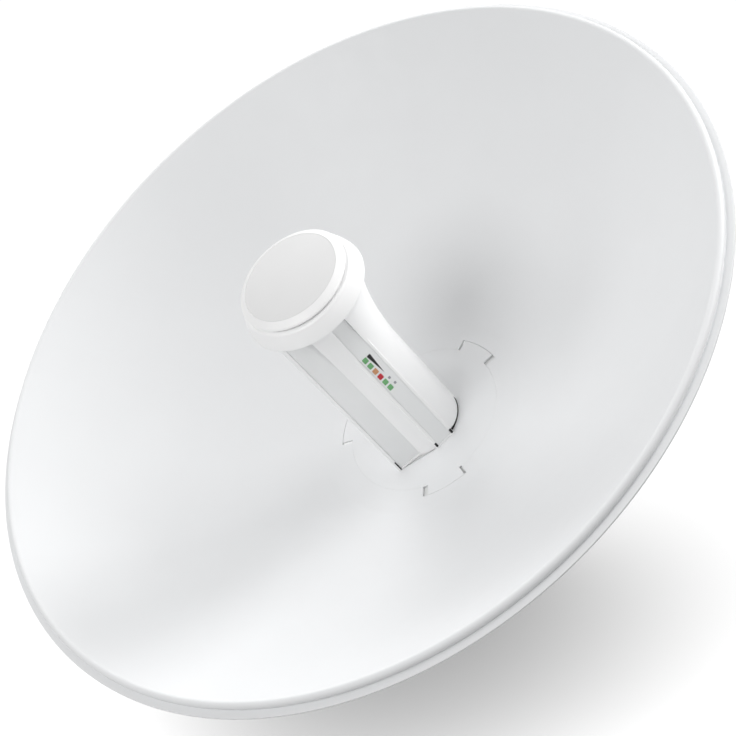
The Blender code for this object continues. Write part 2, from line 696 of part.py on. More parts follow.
def main():
    clear_scene()
    build = Builder()
    pivot = (0, -PIVOT_TO_MAST, 0)
    tilt_axis = build.empty("tilt_axis", pivot, (0, 0, 0))
    head = build.empty("head_pivot", pivot, (-REST_TILT, 0, 0))
    axis = build.empty("dish_axis", (0, -PIVOT_TO_DISH, 0), (math.pi / 2, 0, 0), head)
    make_dish(build, axis)
    make_hub(build, axis)
    make_feed_tube(build, axis)
    make_feed_panels(build, axis)
    make_lenses(build, axis)
    make_cap(build, axis)
    make_housing(build, axis)
    make_yoke(build, head, axis)
    make_locks(build, head)
    make_pivot(build, tilt_axis)
    make_bracket(build, tilt_axis)


main()
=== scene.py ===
"""Looks of a wireless link dish antenna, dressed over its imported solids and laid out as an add-on.

Lengths are metres. The dish frame starts at the middle of the dish's flat centre: +Z runs forwards along the
dish's axis, +Y is up and +X is to the right seen from the front. The pivot frame starts on the tilt axis and
turns with the head: +Y runs back from the dish, +Z is up and +X is to the right.
"""

import json
import math

import bmesh
import bpy
from bpy.props import FloatProperty, FloatVectorProperty, IntProperty, PointerProperty
from mathutils import Matrix, Vector

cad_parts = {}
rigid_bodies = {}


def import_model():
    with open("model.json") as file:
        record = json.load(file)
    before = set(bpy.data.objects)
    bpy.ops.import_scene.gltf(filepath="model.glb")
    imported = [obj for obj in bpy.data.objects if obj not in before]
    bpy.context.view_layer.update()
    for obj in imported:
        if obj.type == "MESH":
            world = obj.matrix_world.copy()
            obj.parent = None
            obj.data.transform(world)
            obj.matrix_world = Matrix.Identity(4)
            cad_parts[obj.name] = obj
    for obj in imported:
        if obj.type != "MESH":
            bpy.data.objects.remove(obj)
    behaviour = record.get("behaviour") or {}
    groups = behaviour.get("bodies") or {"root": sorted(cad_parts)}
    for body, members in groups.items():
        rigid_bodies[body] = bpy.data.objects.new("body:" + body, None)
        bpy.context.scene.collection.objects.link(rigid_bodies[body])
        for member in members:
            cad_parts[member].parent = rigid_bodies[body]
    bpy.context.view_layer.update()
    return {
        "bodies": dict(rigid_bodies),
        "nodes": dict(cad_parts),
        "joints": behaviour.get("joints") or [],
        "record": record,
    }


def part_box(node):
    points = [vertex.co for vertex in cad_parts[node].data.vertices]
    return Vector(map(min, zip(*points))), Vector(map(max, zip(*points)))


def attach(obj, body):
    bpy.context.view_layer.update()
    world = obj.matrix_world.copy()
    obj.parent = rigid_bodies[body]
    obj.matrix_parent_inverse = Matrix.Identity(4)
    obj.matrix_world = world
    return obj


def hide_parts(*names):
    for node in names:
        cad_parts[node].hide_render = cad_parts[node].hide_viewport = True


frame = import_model()

bl_info = {
    "name": "Link Dish Antenna",
    "version": (1, 0, 0),
    "blender": (4, 5, 0),
    "location": "View3D > Sidebar > Antenna",
    "description": "Builds the finished surfaces of a wireless link dish antenna over its solids",
    "category": "Add Mesh",
}

HEAD = "head"
BRACKET = "bracket"
GAP = 0.0003
TILT_JOINT = frame["joints"][0]
DISH_LOW, DISH_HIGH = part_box("reflector_dish")
MAST_LOW, MAST_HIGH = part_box("mast_plate")
SIDES = (("right", 1), ("left", -1))


def linear_colour(hex_text):
    """Linear RGBA of an sRGB hex colour such as #E4E6E8."""
    channels = [int(hex_text[i:i + 2], 16) / 255 for i in (1, 3, 5)]
    linear = [c / 12.92 if c <= 0.04045 else ((c + 0.055) / 1.055) ** 2.4 for c in channels]
    return (*linear, 1.0)


def number(name, default, description, **limits):
    return FloatProperty(name=name, default=default, description=description, **limits)


def length(name, default, description):
    return number(name, default, description, min=0.0, unit="LENGTH", precision=5)


def offset(name, default, description):
    return number(name, default, description, unit="LENGTH", precision=5)


def angle(name, degrees, description):
    return number(name, math.radians(degrees), description, subtype="ANGLE")


def colour(name, hex_text, description):
    return FloatVectorProperty(name=name, subtype="COLOR", size=4, min=0.0, max=1.0,
                               default=linear_colour(hex_text), description=description)


class HeadPlacing(bpy.types.PropertyGroup):
    """Where the head's frames lie."""

    tilt: angle("Tilt", 35, "How far the dish looks up at rest")
    pivot_to_dish: length("Pivot to dish", 0.0668, "From the tilt axis to the dish's flat middle")


class ReflectorSizes(bpy.types.PropertyGroup):
    """Sizes of the pressed dish."""

    radius: length("Radius", (DISH_HIGH.x - DISH_LOW.x) / 2, "Outer radius over the flange")
    hole: length("Hole radius", 0.0433, "Radius of the hole for the hub")
    flat: length("Flat radius", 0.056, "Radius of the flat middle")
    sheet: length("Sheet", 0.0012, "Thickness of the sheet")
    lip_height: length("Lip height", 0.0885, "Height of the lip's crest over the flat middle")
    lip_bend: length("Lip bend", 0.0022, "Outer bend radius of the lip")
    lip_undercut: angle("Lip undercut", 55, "How far the lip is rolled back under itself")
    wall: length("Wall radius", 0.2064, "Radius of the rim's wall")
    flange_height: length("Flange height", 0.0840, "Height of the flange's front over the flat middle")
    notch: length("Notch radius", 0.0495, "How far the bayonet notches reach")
    notch_sweep: angle("Notch sweep", 31, "How wide each notch is")
    notch_angle: angle("Notch angle", 68, "Where the first notch is")
    steps: IntProperty(name="Steps", default=360, min=24, description="Steps of the turned sheet")


class HubSizes(bpy.types.PropertyGroup):
    """Sizes of the hub plate that locks into the dish."""

    radius: length("Radius", 0.04327, "Radius of the hub")
    front: length("Front", 0.0008, "How far its face stands before the dish's flat middle")
    lug: length("Lug radius", 0.0493, "How far the lugs reach")
    lug_sweep: angle("Lug sweep", 25.5, "How wide each lug is")
    lug_offset: angle("Lug offset", 1, "Where a lug sits in its notch")
    lugs: IntProperty(name="Lugs", default=3, min=1, description="Number of lugs")


class FeedSizes(bpy.types.PropertyGroup):
    """Sizes of the feed tube, its panels and its cap."""

    radius: length("Radius", 0.0212, "Radius of the round part")
    shift_x: offset("Shift across", 0.0010, "How far the round part lies beside the axis")
    shift_y: offset("Shift up", -0.0023, "How far the round part lies above the axis")
    top: length("Top", 0.1186, "Height of the tube's top")
    flare_start: length("Flare start", 0.060, "Where the tube starts to widen")
    flare_radius: length("Flare radius", 0.0305, "Radius at the tube's top")
    flare_growth: number("Flare growth", 2.2, "Power at which the flare widens")
    corner: length("Corner reach", 0.0331, "From the axis to the squared side's corner")
    label_angle: angle("Label angle", -40, "Direction that the label panel faces")
    label_face: length("Label side", 0.0205, "From the axis to the squared side")
    label_width: length("Label width", 0.0125, "Width of the label panel")
    label_lip: length("Label lip", 0.0021, "From the corner to the label panel")
    label_recess: length("Label recess", 0.0005, "How deep the label panel lies")
    label_bottom: length("Label bottom", 0.002, "Height of the label panel's lower end")
    led_angle: angle("Light panel angle", -31.5, "Direction that the light panel faces")
    led_face: length("Light panel face", 0.0240, "From the axis to the raised bar's face")
    led_width: length("Light panel width", 0.0088, "Width of the light panel")
    led_border: length("Light panel border", 0.0017, "Width of the bar beside the light panel")
    led_bottom: length("Light panel bottom", 0.002, "Height of the light panel's lower end")
    led_inset: length("Light panel inset", 0.0002, "How far the light panel lies below the bar's face")
    panel: length("Panel depth", 0.001, "Thickness that a panel's seat leaves")
    cap: length("Cap radius", 0.0337, "Largest radius of the cap")
    cap_bottom: length("Cap bottom", 0.1189, "Height of the cap's lower edge")
    cap_upper: length("Cap upper radius", 0.0309, "Radius of the cap below the groove")
    cap_shoulder: length("Cap shoulder", 0.1295, "Height of the cap's shoulder")
    disc: length("Disc radius", 0.0301, "Largest radius of the front disc")
    disc_flat: length("Disc flat radius", 0.0260, "Radius of the front disc's flat face")
    disc_neck: length("Disc neck radius", 0.0286, "Radius of the front disc at the bottom of the groove")
    disc_top: length("Disc top", 0.1343, "Height of the front disc's face")


class LightSizes(bpy.types.PropertyGroup):
    """Sizes of the signal lights and the marks beside them."""

    first: length("First", 0.0815, "Height of the first light")
    pitch: length("Pitch", 0.0050, "Distance from one light to the next")
    tall: length("Length", 0.0034, "Length of a light along the feed")
    wide: length("Width", 0.0026, "Width of a light")
    thick: length("Thickness", 0.0004, "How far a light stands out")
    side: offset("Side", -0.0020, "Place across the panel")
    ink: length("Ink", 0.00006, "How thick the printed marks lie")
    wedge_top: length("Wedge top", 0.0829, "Height of the printed wedge's broad end")
    wedge_long: length("Wedge length", 0.0162, "Length of the printed wedge")
    wedge_side: offset("Wedge side", 0.0009, "Place of the printed wedge across the panel")
    mark_wide: length("Mark width", 0.0013, "Width of a small printed mark")
    mark_tall: length("Mark length", 0.0018, "Length of a small printed mark")


class HousingSizes(bpy.types.PropertyGroup):
    """Sizes of the housing behind the dish."""

    width: length("Width", 0.084, "Width of the housing")
    height: length("Height", 0.104, "Height of the housing")
    depth: length("Depth", 0.036, "Depth of the housing")
    rounding: length("Rounding", 0.008, "Radius of its edges")
    cover_width: length("Cover width", 0.050, "Width of the port cover")
    cover_depth: length("Cover depth", 0.018, "Depth of the port cover")
    cover_sheet: length("Cover sheet", 0.003, "Thickness of the port cover")
    gland_radius: length("Gland radius", 0.0085, "Radius of the cable gland")
    gland_length: length("Gland length", 0.016, "Length of the cable gland")


class BracketSizes(bpy.types.PropertyGroup):
    """Sizes of the yoke, the bracket and their bolts."""

    sheet: length("Sheet", 0.003, "Thickness of the yoke and the cheeks")
    yoke_width: length("Yoke width", 0.076, "Width of the yoke plate")
    yoke_height: length("Yoke height", 0.080, "Height of the yoke plate")
    pivot_to_yoke: length("Pivot to yoke", 0.026, "From the tilt axis to the yoke plate's back")
    ear_inner: length("Ear inner", 0.0237, "From the middle to an ear's inner face")
    ear_height: length("Ear half height", 0.015, "Half the height of an ear at the pivot")
    ear_root: length("Ear root", 0.030, "Half the height of an ear at the yoke plate")
    ear_tail: length("Ear tail", 0.0099, "Radius of an ear's round end")
    lock: length("Lock radius", 0.033, "From the tilt axis to the lock bolts")
    cheek_inner: length("Cheek inner", 0.032, "From the middle to a cheek's inner face")
    cheek_nose: length("Cheek nose", 0.020, "Radius of a cheek's nose")
    cheek_top: length("Cheek top", 0.034, "How far a cheek reaches up")
    cheek_bottom: length("Cheek bottom", 0.038, "How far a cheek reaches down")
    slot_x: length("Slot place across", 0.019, "From the middle to a mast slot")
    slot_z: length("Slot place up", 0.031, "From the middle to a mast slot, up or down")
    slot_length: length("Slot half length", 0.008, "Half the length of a mast slot")
    slot_width: length("Slot half width", 0.0045, "Half the width of a mast slot")
    bolt: length("Bolt radius", 0.004, "Radius of the M8 bolts")
    head_radius: length("Head radius", 0.009, "Radius of a bolt's round head")
    head_height: length("Head height", 0.0045, "Height of a bolt's round head")
    nut_corner: length("Nut corner", 0.0075, "From a nut's axis to its corners")
    nut_height: length("Nut height", 0.0065, "Height of a nut")
    bolt_end: length("Bolt end", 0.0025, "How far a bolt stands out of its nut")
    spacer: length("Spacer radius", 0.009, "Radius of a spacer")


class Finishes(bpy.types.PropertyGroup):
    """Colours of the finishes."""

    paint: colour("Dish paint", "#E8E9EA", "Powder coat on the dish")
    plastic: colour("Feed plastic", "#F4F4F4", "Moulded plastic of the feed and its cap")
    housing: colour("Housing plastic", "#E6E7E6", "Moulded plastic behind the dish")
    film: colour("Panel film", "#E9EAEA", "Printed film on the feed's panels")
    ink: colour("Ink", "#0B0B0C", "Printed marks")
    green: colour("Green", "#6FAE72", "Green lights")
    amber: colour("Amber", "#CC9468", "Amber light")
    red: colour("Red", "#C02030", "Red light")
    zinc: colour("Zinc", "#C9CCCF", "Zinc plating")
    brass: colour("Brass", "#C9A35A", "Earth screw")
    rubber: colour("Rubber", "#1B1B1D", "Cable gland")
    floor: colour("Floor", "#E6E6E6", "Studio floor")


class StudioSettings(bpy.types.PropertyGroup):
    """Camera, floor and lights."""

    azimuth: angle("Azimuth", 37.7, "Camera's direction round the antenna")
    elevation: angle("Elevation", 3.96, "Camera's height above the horizon")
    distance: length("Distance", 1.1008, "From the camera to the middle of the dish's rim")
    aim_right: offset("Aim right", 0.0151, "How far right of the rim's middle the camera aims")
    aim_down: offset("Aim down", 0.0201, "How far below the rim's middle the camera aims")
    lens: number("Lens", 107.66, "Focal length of the camera", unit="CAMERA")
    floor_height: offset("Floor height", -0.2135, "Height of the floor under the mast plate's middle")
    floor_reach: length("Floor reach", 9.0, "How far the floor reaches")
    ambient: number("Ambient", 0.39, "Even light on the antenna", min=0.0)
    backdrop: number("Backdrop", 1.05, "Brightness beyond the floor", min=0.0)
    sweep_azimuth: angle("Floor light azimuth", 32, "Direction of the light on the floor")
    sweep_elevation: angle("Floor light elevation", 15, "Height of the light on the floor")
    sweep_angle: angle("Floor light width", 20, "How broad the light on the floor is")
    sweep_strength: number("Floor light", 13.2, "Strength of the light on the floor", min=0.0)


GROUPS = {
    "antenna_placing": HeadPlacing,
    "antenna_reflector": ReflectorSizes,
    "antenna_hub": HubSizes,
    "antenna_feed": FeedSizes,
    "antenna_lights": LightSizes,
    "antenna_housing": HousingSizes,
    "antenna_bracket": BracketSizes,
    "antenna_finishes": Finishes,
    "antenna_studio": StudioSettings,
}


def settings(name):
    return getattr(bpy.context.scene, "antenna_" + name)


def pivot_frame():
    """Frame on the tilt axis, turned with the head."""
    return Matrix.Translation(TILT_JOINT["pos_m"]) @ Matrix.Rotation(-settings("placing").tilt, 4, "X")


def bracket_frame():
    """Frame on the tilt axis that stays with the bracket."""
    return Matrix.Translation(TILT_JOINT["pos_m"])


def dish_frame():
    shift = Matrix.Translation((0, -settings("placing").pivot_to_dish, 0))
    return pivot_frame() @ shift @ Matrix.Rotation(math.pi / 2, 4, "X")


def across(radius, turn):
    return Vector((radius * math.cos(turn), radius * math.sin(turn)))


def arc(centre, radius, start, end, steps):
    """Points on an arc, both ends included."""
    turns = [start + (end - start) * i / steps for i in range(steps + 1)]
    return [(centre[0] + radius * math.cos(t), centre[1] + radius * math.sin(t)) for t in turns]


def circle(radius, steps, centre=(0.0, 0.0)):
    return arc(centre, radius, 0.0, 2 * math.pi * (1 - 1 / steps), steps - 1)


def rounded(corners, steps=4):
    """Closed outline from corners (x, y, radius), each rounded as far as its sides allow."""
    points = []
    count = len(corners)
    for i, (x, y, radius) in enumerate(corners):
        here = Vector((x, y))
        back = Vector(corners[i - 1][:2]) - here
        ahead = Vector(corners[(i + 1) % count][:2]) - here
        if radius <= 0 or back.length < 1e-7 or ahead.length < 1e-7:
            points += [(x, y)] * (steps + 1 if radius > 0 else 1)
            continue
        opening = back.angle(ahead)
        reach = min(radius / math.tan(opening / 2), 0.49 * back.length, 0.49 * ahead.length)
        first = here + back.normalized() * reach
        last = here + ahead.normalized() * reach
        for step in range(steps + 1):
            share = step / steps
            bend = first.lerp(here, share).lerp(here.lerp(last, share), share)
            points.append((bend.x, bend.y))
    return points


def rounded_box(width, height, radius, steps=6):
    x = width / 2
    y = height / 2
    return rounded([(x, -y, radius), (x, y, radius), (-x, y, radius), (-x, -y, radius)], steps)


def slot_outline(half_length, half_width, centre=(0.0, 0.0), steps=12):
    straight = half_length - half_width
    right = (centre[0] + straight, centre[1])
    left = (centre[0] - straight, centre[1])
    quarter = math.pi / 2
    points = arc(right, half_width, -quarter, quarter, steps)
    return points + arc(left, half_width, quarter, 3 * quarter, steps)


def curved_slot(radius, start, end, half_width, steps=24):
    points = arc((0, 0), radius + half_width, start, end, steps)
    points += arc(across(radius, end), half_width, end, end + math.pi, 12)[1:-1]
    points += arc((0, 0), radius - half_width, end, start, steps)
    points += arc(across(radius, start), half_width, start + math.pi, start + 2 * math.pi, 12)[1:-1]
    return points


def finish_mesh(shape, sharp=35):
    """Mesh of a bmesh without doubled points, faces pointing out, smooth but for its sharp edges."""
    bmesh.ops.remove_doubles(shape, verts=shape.verts, dist=0.000002)
    bmesh.ops.dissolve_degenerate(shape, edges=shape.edges, dist=0.000001)
    bmesh.ops.recalc_face_normals(shape, faces=shape.faces)
    mesh = bpy.data.meshes.new("piece")
    shape.to_mesh(mesh)
    shape.free()
    mesh.shade_smooth()
    mesh.set_sharp_from_angle(angle=math.radians(sharp))
    return mesh


def add_piece(name, mesh, material, nodes=(), place=None, body=HEAD):
    """Puts a mesh in its place, or else in the dish frame, on its body, for the solids that it stands for."""
    mesh.name = name
    mesh.transform(dish_frame() if place is None else place)
    mesh.materials.append(material)
    made = bpy.data.objects.new(name, mesh)
    bpy.context.scene.collection.objects.link(made)
    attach(made, body)
    if nodes:
        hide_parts(*nodes)


def turned(profile, steps, closed=False, sharp=35):
    """Solid turned about +Z from points (radius, height). An open profile starts and ends on the axis."""
    shape = bmesh.new()
    rings = []
    for step in range(steps):
        direction = across(1.0, 2 * math.pi * step / steps)
        rings.append([shape.verts.new((direction.x * r, direction.y * r, z)) for r, z in profile])
    last = len(profile) if closed else len(profile) - 1
    for step in range(steps):
        here = rings[step]
        ahead = rings[(step + 1) % steps]
        for i in range(last):
            j = (i + 1) % len(profile)
            shape.faces.new((here[i], ahead[i], ahead[j], here[j]))
    return finish_mesh(shape, sharp)


def lofted(sections, closed_ring=False, sharp=35):
    """Skin over sections, each a list of 3-D points in the same order, with flat ends unless it is a ring."""
    shape = bmesh.new()
    rows = [[shape.verts.new(point) for point in section] for section in sections]
    count = len(rows[0])
    pairs = list(zip(rows, rows[1:]))
    if closed_ring:
        pairs.append((rows[-1], rows[0]))
    for here, ahead in pairs:
        for i in range(count):
            j = (i + 1) % count
            shape.faces.new((here[i], here[j], ahead[j], ahead[i]))
    if not closed_ring:
        ends = [shape.faces.new(rows[0][::-1]), shape.faces.new(rows[-1])]
        bmesh.ops.triangulate(shape, faces=ends, ngon_method="EAR_CLIP")
    return finish_mesh(shape, sharp)


def plate(outlines, thickness, edge=0.0003):
    """Flat plate with rounded edges, lying in the plane of x and y about z = 0."""
    curve = bpy.data.curves.new("outline", "CURVE")
    curve.dimensions = "2D"
    curve.fill_mode = "BOTH"
    curve.extrude = thickness / 2 - edge
    curve.bevel_depth = edge
    curve.bevel_resolution = 2
    curve.offset = -edge
    for outline in outlines:
        spline = curve.splines.new("POLY")
        spline.points.add(len(outline) - 1)
        for point, (x, y) in zip(spline.points, outline):
            point.co = (x, y, 0.0, 1.0)
        spline.use_cyclic_u = True
    drawn = bpy.data.objects.new("outline", curve)
    bpy.context.scene.collection.objects.link(drawn)
    bpy.context.view_layer.update()
    made = bpy.data.meshes.new_from_object(drawn.evaluated_get(bpy.context.evaluated_depsgraph_get()))
    bpy.data.objects.remove(drawn)
    bpy.data.curves.remove(curve)
    shape = bmesh.new()
    shape.from_mesh(made)
    bpy.data.meshes.remove(made)
    return finish_mesh(shape, 50)


def add_node(tree, kind, inputs=None, links=None, **values):
    """Adds a node, sets its properties and unlinked sockets, and joins its linked ones."""
    node = tree.nodes.new(kind)
    for key, value in values.items():
        setattr(node, key, value)
    for socket, value in (inputs or {}).items():
        node.inputs[socket].default_value = value
    for socket, source in (links or {}).items():
        tree.links.new(source, node.inputs[socket])
    return node


def shade(colour_value, factor):
    return (*(min(1.0, c * factor) for c in colour_value[:3]), 1.0)


def patterned(name, colours, clouds, sheen, relief, metallic=0.0, stretch=1.0):
    """A finish whose colour, roughness and relief each follow a noise, with sizes in millimetres.

    Clouds gives size and detail of the change from one colour to the other, sheen gives size, detail, lowest
    and highest roughness, and relief gives size, detail and depth. A stretch below one draws sheen and relief
    out into lines.
    """
    made = bpy.data.materials.new(name)
    made.use_nodes = True
    tree = made.node_tree
    shader = tree.nodes["Principled BSDF"]
    shader.inputs["Metallic"].default_value = metallic
    if not metallic:
        shader.inputs["IOR"].default_value = 1.5
    place = add_node(tree, "ShaderNodeTexCoord").outputs["Object"]
    drawn = place
    if stretch != 1.0:
        spread = add_node(tree, "ShaderNodeMapping", {"Scale": (1.0, 1.0, stretch)}, {"Vector": place})
        drawn = spread.outputs["Vector"]
    noises = []
    for (size, detail, *_), source in ((clouds, place), (sheen, drawn), (relief, drawn)):
        values = {"Scale": 1000 / size, "Detail": detail}
        noises.append(add_node(tree, "ShaderNodeTexNoise", values, {"Vector": source}).outputs["Fac"])
    shares = []
    for noise, (low, high) in zip(noises, ((0.0, 1.0), sheen[2:])):
        values = {"From Min": 0.3, "From Max": 0.7, "To Min": low, "To Max": high}
        shares.append(add_node(tree, "ShaderNodeMapRange", values, {"Value": noise}).outputs["Result"])
    tint = add_node(tree, "ShaderNodeMix", {6: colours[0], 7: colours[1]}, {0: shares[0]}, data_type="RGBA")
    values = {"Distance": relief[2] / 1000, "Strength": 1.0}
    bump = add_node(tree, "ShaderNodeBump", values, {"Height": noises[2]})
    tree.links.new(tint.outputs[2], shader.inputs["Base Color"])
    tree.links.new(shares[1], shader.inputs["Roughness"])
    tree.links.new(bump.outputs["Normal"], shader.inputs["Normal"])
    return made


def moulded(name, base, roughness, grain, depth, variation=0.015):
    """Plastic from a spark-eroded tool: even colour, a fine grain and a soft cloudy sheen.

    The real grain is too fine to show, so it is drawn a few tenths of a millimetre wide.
    """
    colours = (shade(base, 1 - variation), shade(base, 1 + variation))
    sheen = (6, 2, roughness - 0.03, roughness + 0.03)
    return patterned(name, colours, (24, 2), sheen, (grain, 3, depth))


def powder_coated_steel():
    """Polyester powder baked on steel sheet: white, half matt, with a faint orange peel 2 mm across."""
    base = settings("finishes").paint
    colours = (shade(base, 0.985), shade(base, 1.0))
    return patterned("powder_coated_steel", colours, (60, 2), (9, 2, 0.46, 0.54), (2, 1, 0.010))


def asa_plastic():
    """Weatherproof ASA moulded in a polished tool: clean white with a soft gloss."""
    return moulded("moulded_asa", settings("finishes").plastic, 0.36, 0.5, 0.004, 0.006)


def hub_plastic():
    """Moulded ASA with a fine grain, matched to the dish's powder coat: white, half matt."""
    return moulded("moulded_asa_hub", settings("finishes").paint, 0.48, 0.5, 0.006, 0.006)


def cap_plastic():
    """The same ASA from a finely eroded tool, matt, its white darkened to 0.81 so that the cap's face is
    drawn light grey.
    """
    base = shade(settings("finishes").plastic, 0.81)
    return moulded("moulded_asa_matt", base, 0.55, 0.4, 0.008, 0.008)


def housing_plastic():
    """Polycarbonate blend with an eroded grain, a little greyer than the feed."""
    return moulded("moulded_polycarbonate", settings("finishes").housing, 0.5, 0.6, 0.02)


def panel_film():
    """Polyester film, screen printed light grey from behind: smooth, faintly cloudy."""
    return moulded("printed_polyester_film", settings("finishes").film, 0.38, 0.3, 0.002, 0.01)


def black_ink():
    """Screen-printed ink: dense black with a dull sheen and a slightly uneven edge of pigment."""
    return moulded("screen_ink", settings("finishes").ink, 0.5, 0.2, 0.002, 0.2)


def grey_ink():
    """The same ink, thinned to grey."""
    return moulded("screen_ink_grey", linear_colour("#9A9AA0"), 0.5, 0.2, 0.002, 0.1)


def lens_plastic(tint):
    """Tinted acrylic over a light guide, unlit: glossy, its colour denser in places."""
    return moulded(tint + "_acrylic", getattr(settings("finishes"), tint), 0.25, 0.4, 0.002, 0.08)


def shadow_gap():
    """Painted shadow: a matt near-black that stands in for the shade deep in a gap."""
    return moulded("black_seal", linear_colour("#151516"), 0.8, 0.3, 0.02, 0.1)


def gland_rubber():
    """Moulded EPDM: near black, dull, with a fine grain."""
    return moulded("moulded_epdm", settings("finishes").rubber, 0.62, 0.5, 0.03, 0.12)


def zinc_plated_steel():
    """Bright zinc plating with clear passivation: bluish grey metal, clouded, with fine rolling lines."""
    base = settings("finishes").zinc
    colours = ((base[0] * 0.93, base[1] * 0.97, base[2], 1.0), shade(base, 1.0))
    sheen = (0.6, 3, 0.30, 0.46)
    return patterned("zinc_plated_steel", colours, (7, 4), sheen, (0.6, 3, 0.006), 1.0, 0.05)


def plain_brass():
    """Turned brass: warm yellow metal with fine tool marks."""
    base = settings("finishes").brass
    colours = (shade(base, 0.85), shade(base, 1.0))
    return patterned("turned_brass", colours, (3, 3), (1, 2, 0.25, 0.42), (0.4, 2, 0.004), 1.0)


def painted_floor():
    """Studio floor in matt white emulsion: even, with a slight roller stipple."""
    base = settings("finishes").floor
    colours = (shade(base, 0.995), shade(base, 1.0))
    return patterned("matt_white_floor", colours, (400, 2), (3, 2, 0.9, 0.9), (3, 2, 0.05))


FINISHES = {}


def finish(maker, *values):
    """Each finish is made once and shared by the pieces that have it."""
    key = (maker.__name__, values)
    if key not in FINISHES:
        FINISHES[key] = maker(*values)
    return FINISHES[key]


def bowl_focus(dish):
    lip_start = dish.wall - 1.7 * dish.lip_bend
    return (lip_start ** 2 - dish.flat ** 2) / (4 * (dish.lip_height - dish.lip_bend * 0.28))


def sheet_profile(dish):
    """Front and rear points of the pressed sheet, from the notch radius outwards."""
    focus = bowl_focus(dish)
    bend = (dish.wall - dish.lip_bend, dish.lip_height - dish.lip_bend)
    lip_start = dish.wall - 1.7 * dish.lip_bend
    bend_start = math.pi / 2 + math.atan(lip_start / (2 * focus))
    inner_end = bend[0] + dish.lip_bend * math.cos(bend_start)
    front = []
    rear = []
    steps = 56
    blend = 0.004
    for i in range(steps):
        radius = dish.flat + (inner_end - dish.flat) * i / steps
        slope = math.atan(radius / (2 * focus)) * min(1.0, (radius - dish.flat) / blend)
        height = (radius ** 2 - dish.flat ** 2) / (4 * focus)
        front.append((radius, height))
        rear.append((radius + dish.sheet * math.sin(slope), height - dish.sheet * math.cos(slope)))
    front += arc(bend, dish.lip_bend, bend_start, -dish.lip_undercut, 18)
    rear += arc(bend, dish.lip_bend - dish.sheet, bend_start, 0.0, 8)
    fillet = dish.sheet / 2
    neck = front[-1][0]
    front += arc((neck + fillet / 2, dish.flange_height + fillet / 2), fillet / 2, math.pi, 1.5 * math.pi, 6)
    centre = (dish.wall + fillet, dish.flange_height + fillet)
    rear += arc(centre, fillet + dish.sheet, math.pi, 1.5 * math.pi, 8)
    edge = 0.0003
    front += arc((dish.radius - edge, dish.flange_height - edge), edge, math.pi / 2, 0.0, 3)
    back = dish.flange_height - dish.sheet
    rear += arc((dish.radius - edge, back + edge), edge, -math.pi / 2, 0.0, 3)
    return front, rear


def sheet_sections(dish):
    """Closed sections of the dish, whole and cut back to the notch radius, with as many points in each."""
    front, rear = sheet_profile(dish)
    back = -dish.sheet
    edge = 0.00006
    curved = front + rear[::-1]
    whole = [(dish.hole, back + edge), (dish.hole, -edge), (dish.hole + edge, 0.0), (dish.notch, 0.0)]
    whole += curved + [(dish.notch, back), (dish.hole + edge, back)]
    notched = [(dish.notch, back + edge), (dish.notch, -edge), (dish.notch, 0.0), (dish.notch, 0.0)]
    notched += curved + [(dish.notch, back), (dish.notch, back)]
    return whole, notched


class ANTENNA_OT_reflector(bpy.types.Operator):
    """Adds the pressed dish with its bayonet notches"""

    bl_idname = "antenna.add_reflector"
    bl_label = "Add Reflector"

    def execute(self, context):
        dish = settings("reflector")
        whole, notched = sheet_sections(dish)
        shape = bmesh.new()
        rows = []
        start = dish.notch_angle - dish.notch_sweep / 2
        spacing = 2 * math.pi / settings("hub").lugs
        near = 1e-6
        for step in range(dish.steps):
            turn = 2 * math.pi * step / dish.steps
            into = turn % spacing
            if min(into, spacing - into) < near:
                sections = [whole, notched]
            elif abs(into - dish.notch_sweep) < near:
                sections = [notched, whole]
            else:
                sections = [notched if into < dish.notch_sweep else whole]
            direction = across(1.0, start + turn)
            for section in sections:
                rows.append([shape.verts.new((direction.x * r, direction.y * r, z)) for r, z in section])
        count = len(whole)
        for here, ahead in zip(rows, rows[1:] + rows[:1]):
            for i in range(count):
                j = (i + 1) % count
                shape.faces.new((here[i], ahead[i], ahead[j], here[j]))
        mesh = finish_mesh(shape, 40)
        add_piece("reflector", mesh, finish(powder_coated_steel), ["reflector_dish"])
        return {"FINISHED"}


class ANTENNA_OT_hub(bpy.types.Operator):
    """Adds the hub plate that locks into the dish"""

    bl_idname = "antenna.add_hub"
    bl_label = "Add Hub"

    def execute(self, context):
        dish = settings("reflector")
        hub = settings("hub")
        outline = []
        spacing = 2 * math.pi / hub.lugs
        for index in range(hub.lugs):
            middle = dish.notch_angle + hub.lug_offset + index * spacing
            start = middle - hub.lug_sweep / 2
            end = middle + hub.lug_sweep / 2
            outline += arc((0, 0), hub.lug, start, end, 20)
            outline += arc((0, 0), hub.radius, end, start + spacing, 76)
        edge = 1 - 0.00006 / hub.radius
        steps = [(edge, -dish.sheet), (1.0, -dish.sheet + 0.0003), (1.0, -0.00006), (edge, 0.0)]
        sections = [[(x * scale, y * scale, height) for x, y in outline] for scale, height in steps]
        turns = [math.atan2(y, x) for x, y in outline]
        # The low dome of the face, as shares of the radius and of its height over the dish.
        dome = ((0.985, 0.0), (0.93, 0.12), (0.86, 0.5), (0.80, 0.88), (0.74, 1.0), (0.1, 1.0))
        for scale, height in dome:
            points = [across(scale * hub.radius, turn) for turn in turns]
            sections.append([(point.x, point.y, height * hub.front) for point in points])
        add_piece("hub", lofted(sections), finish(hub_plastic), ["hub_plate"])
        return {"FINISHED"}


def flat_side(turn, face, side, height):
    """Point (x, y, z) on a flat side of the feed that faces turn, side across it and height along it."""
    facing = across(face, turn)
    return (facing.x - side * math.sin(turn), facing.y + side * math.cos(turn), height)


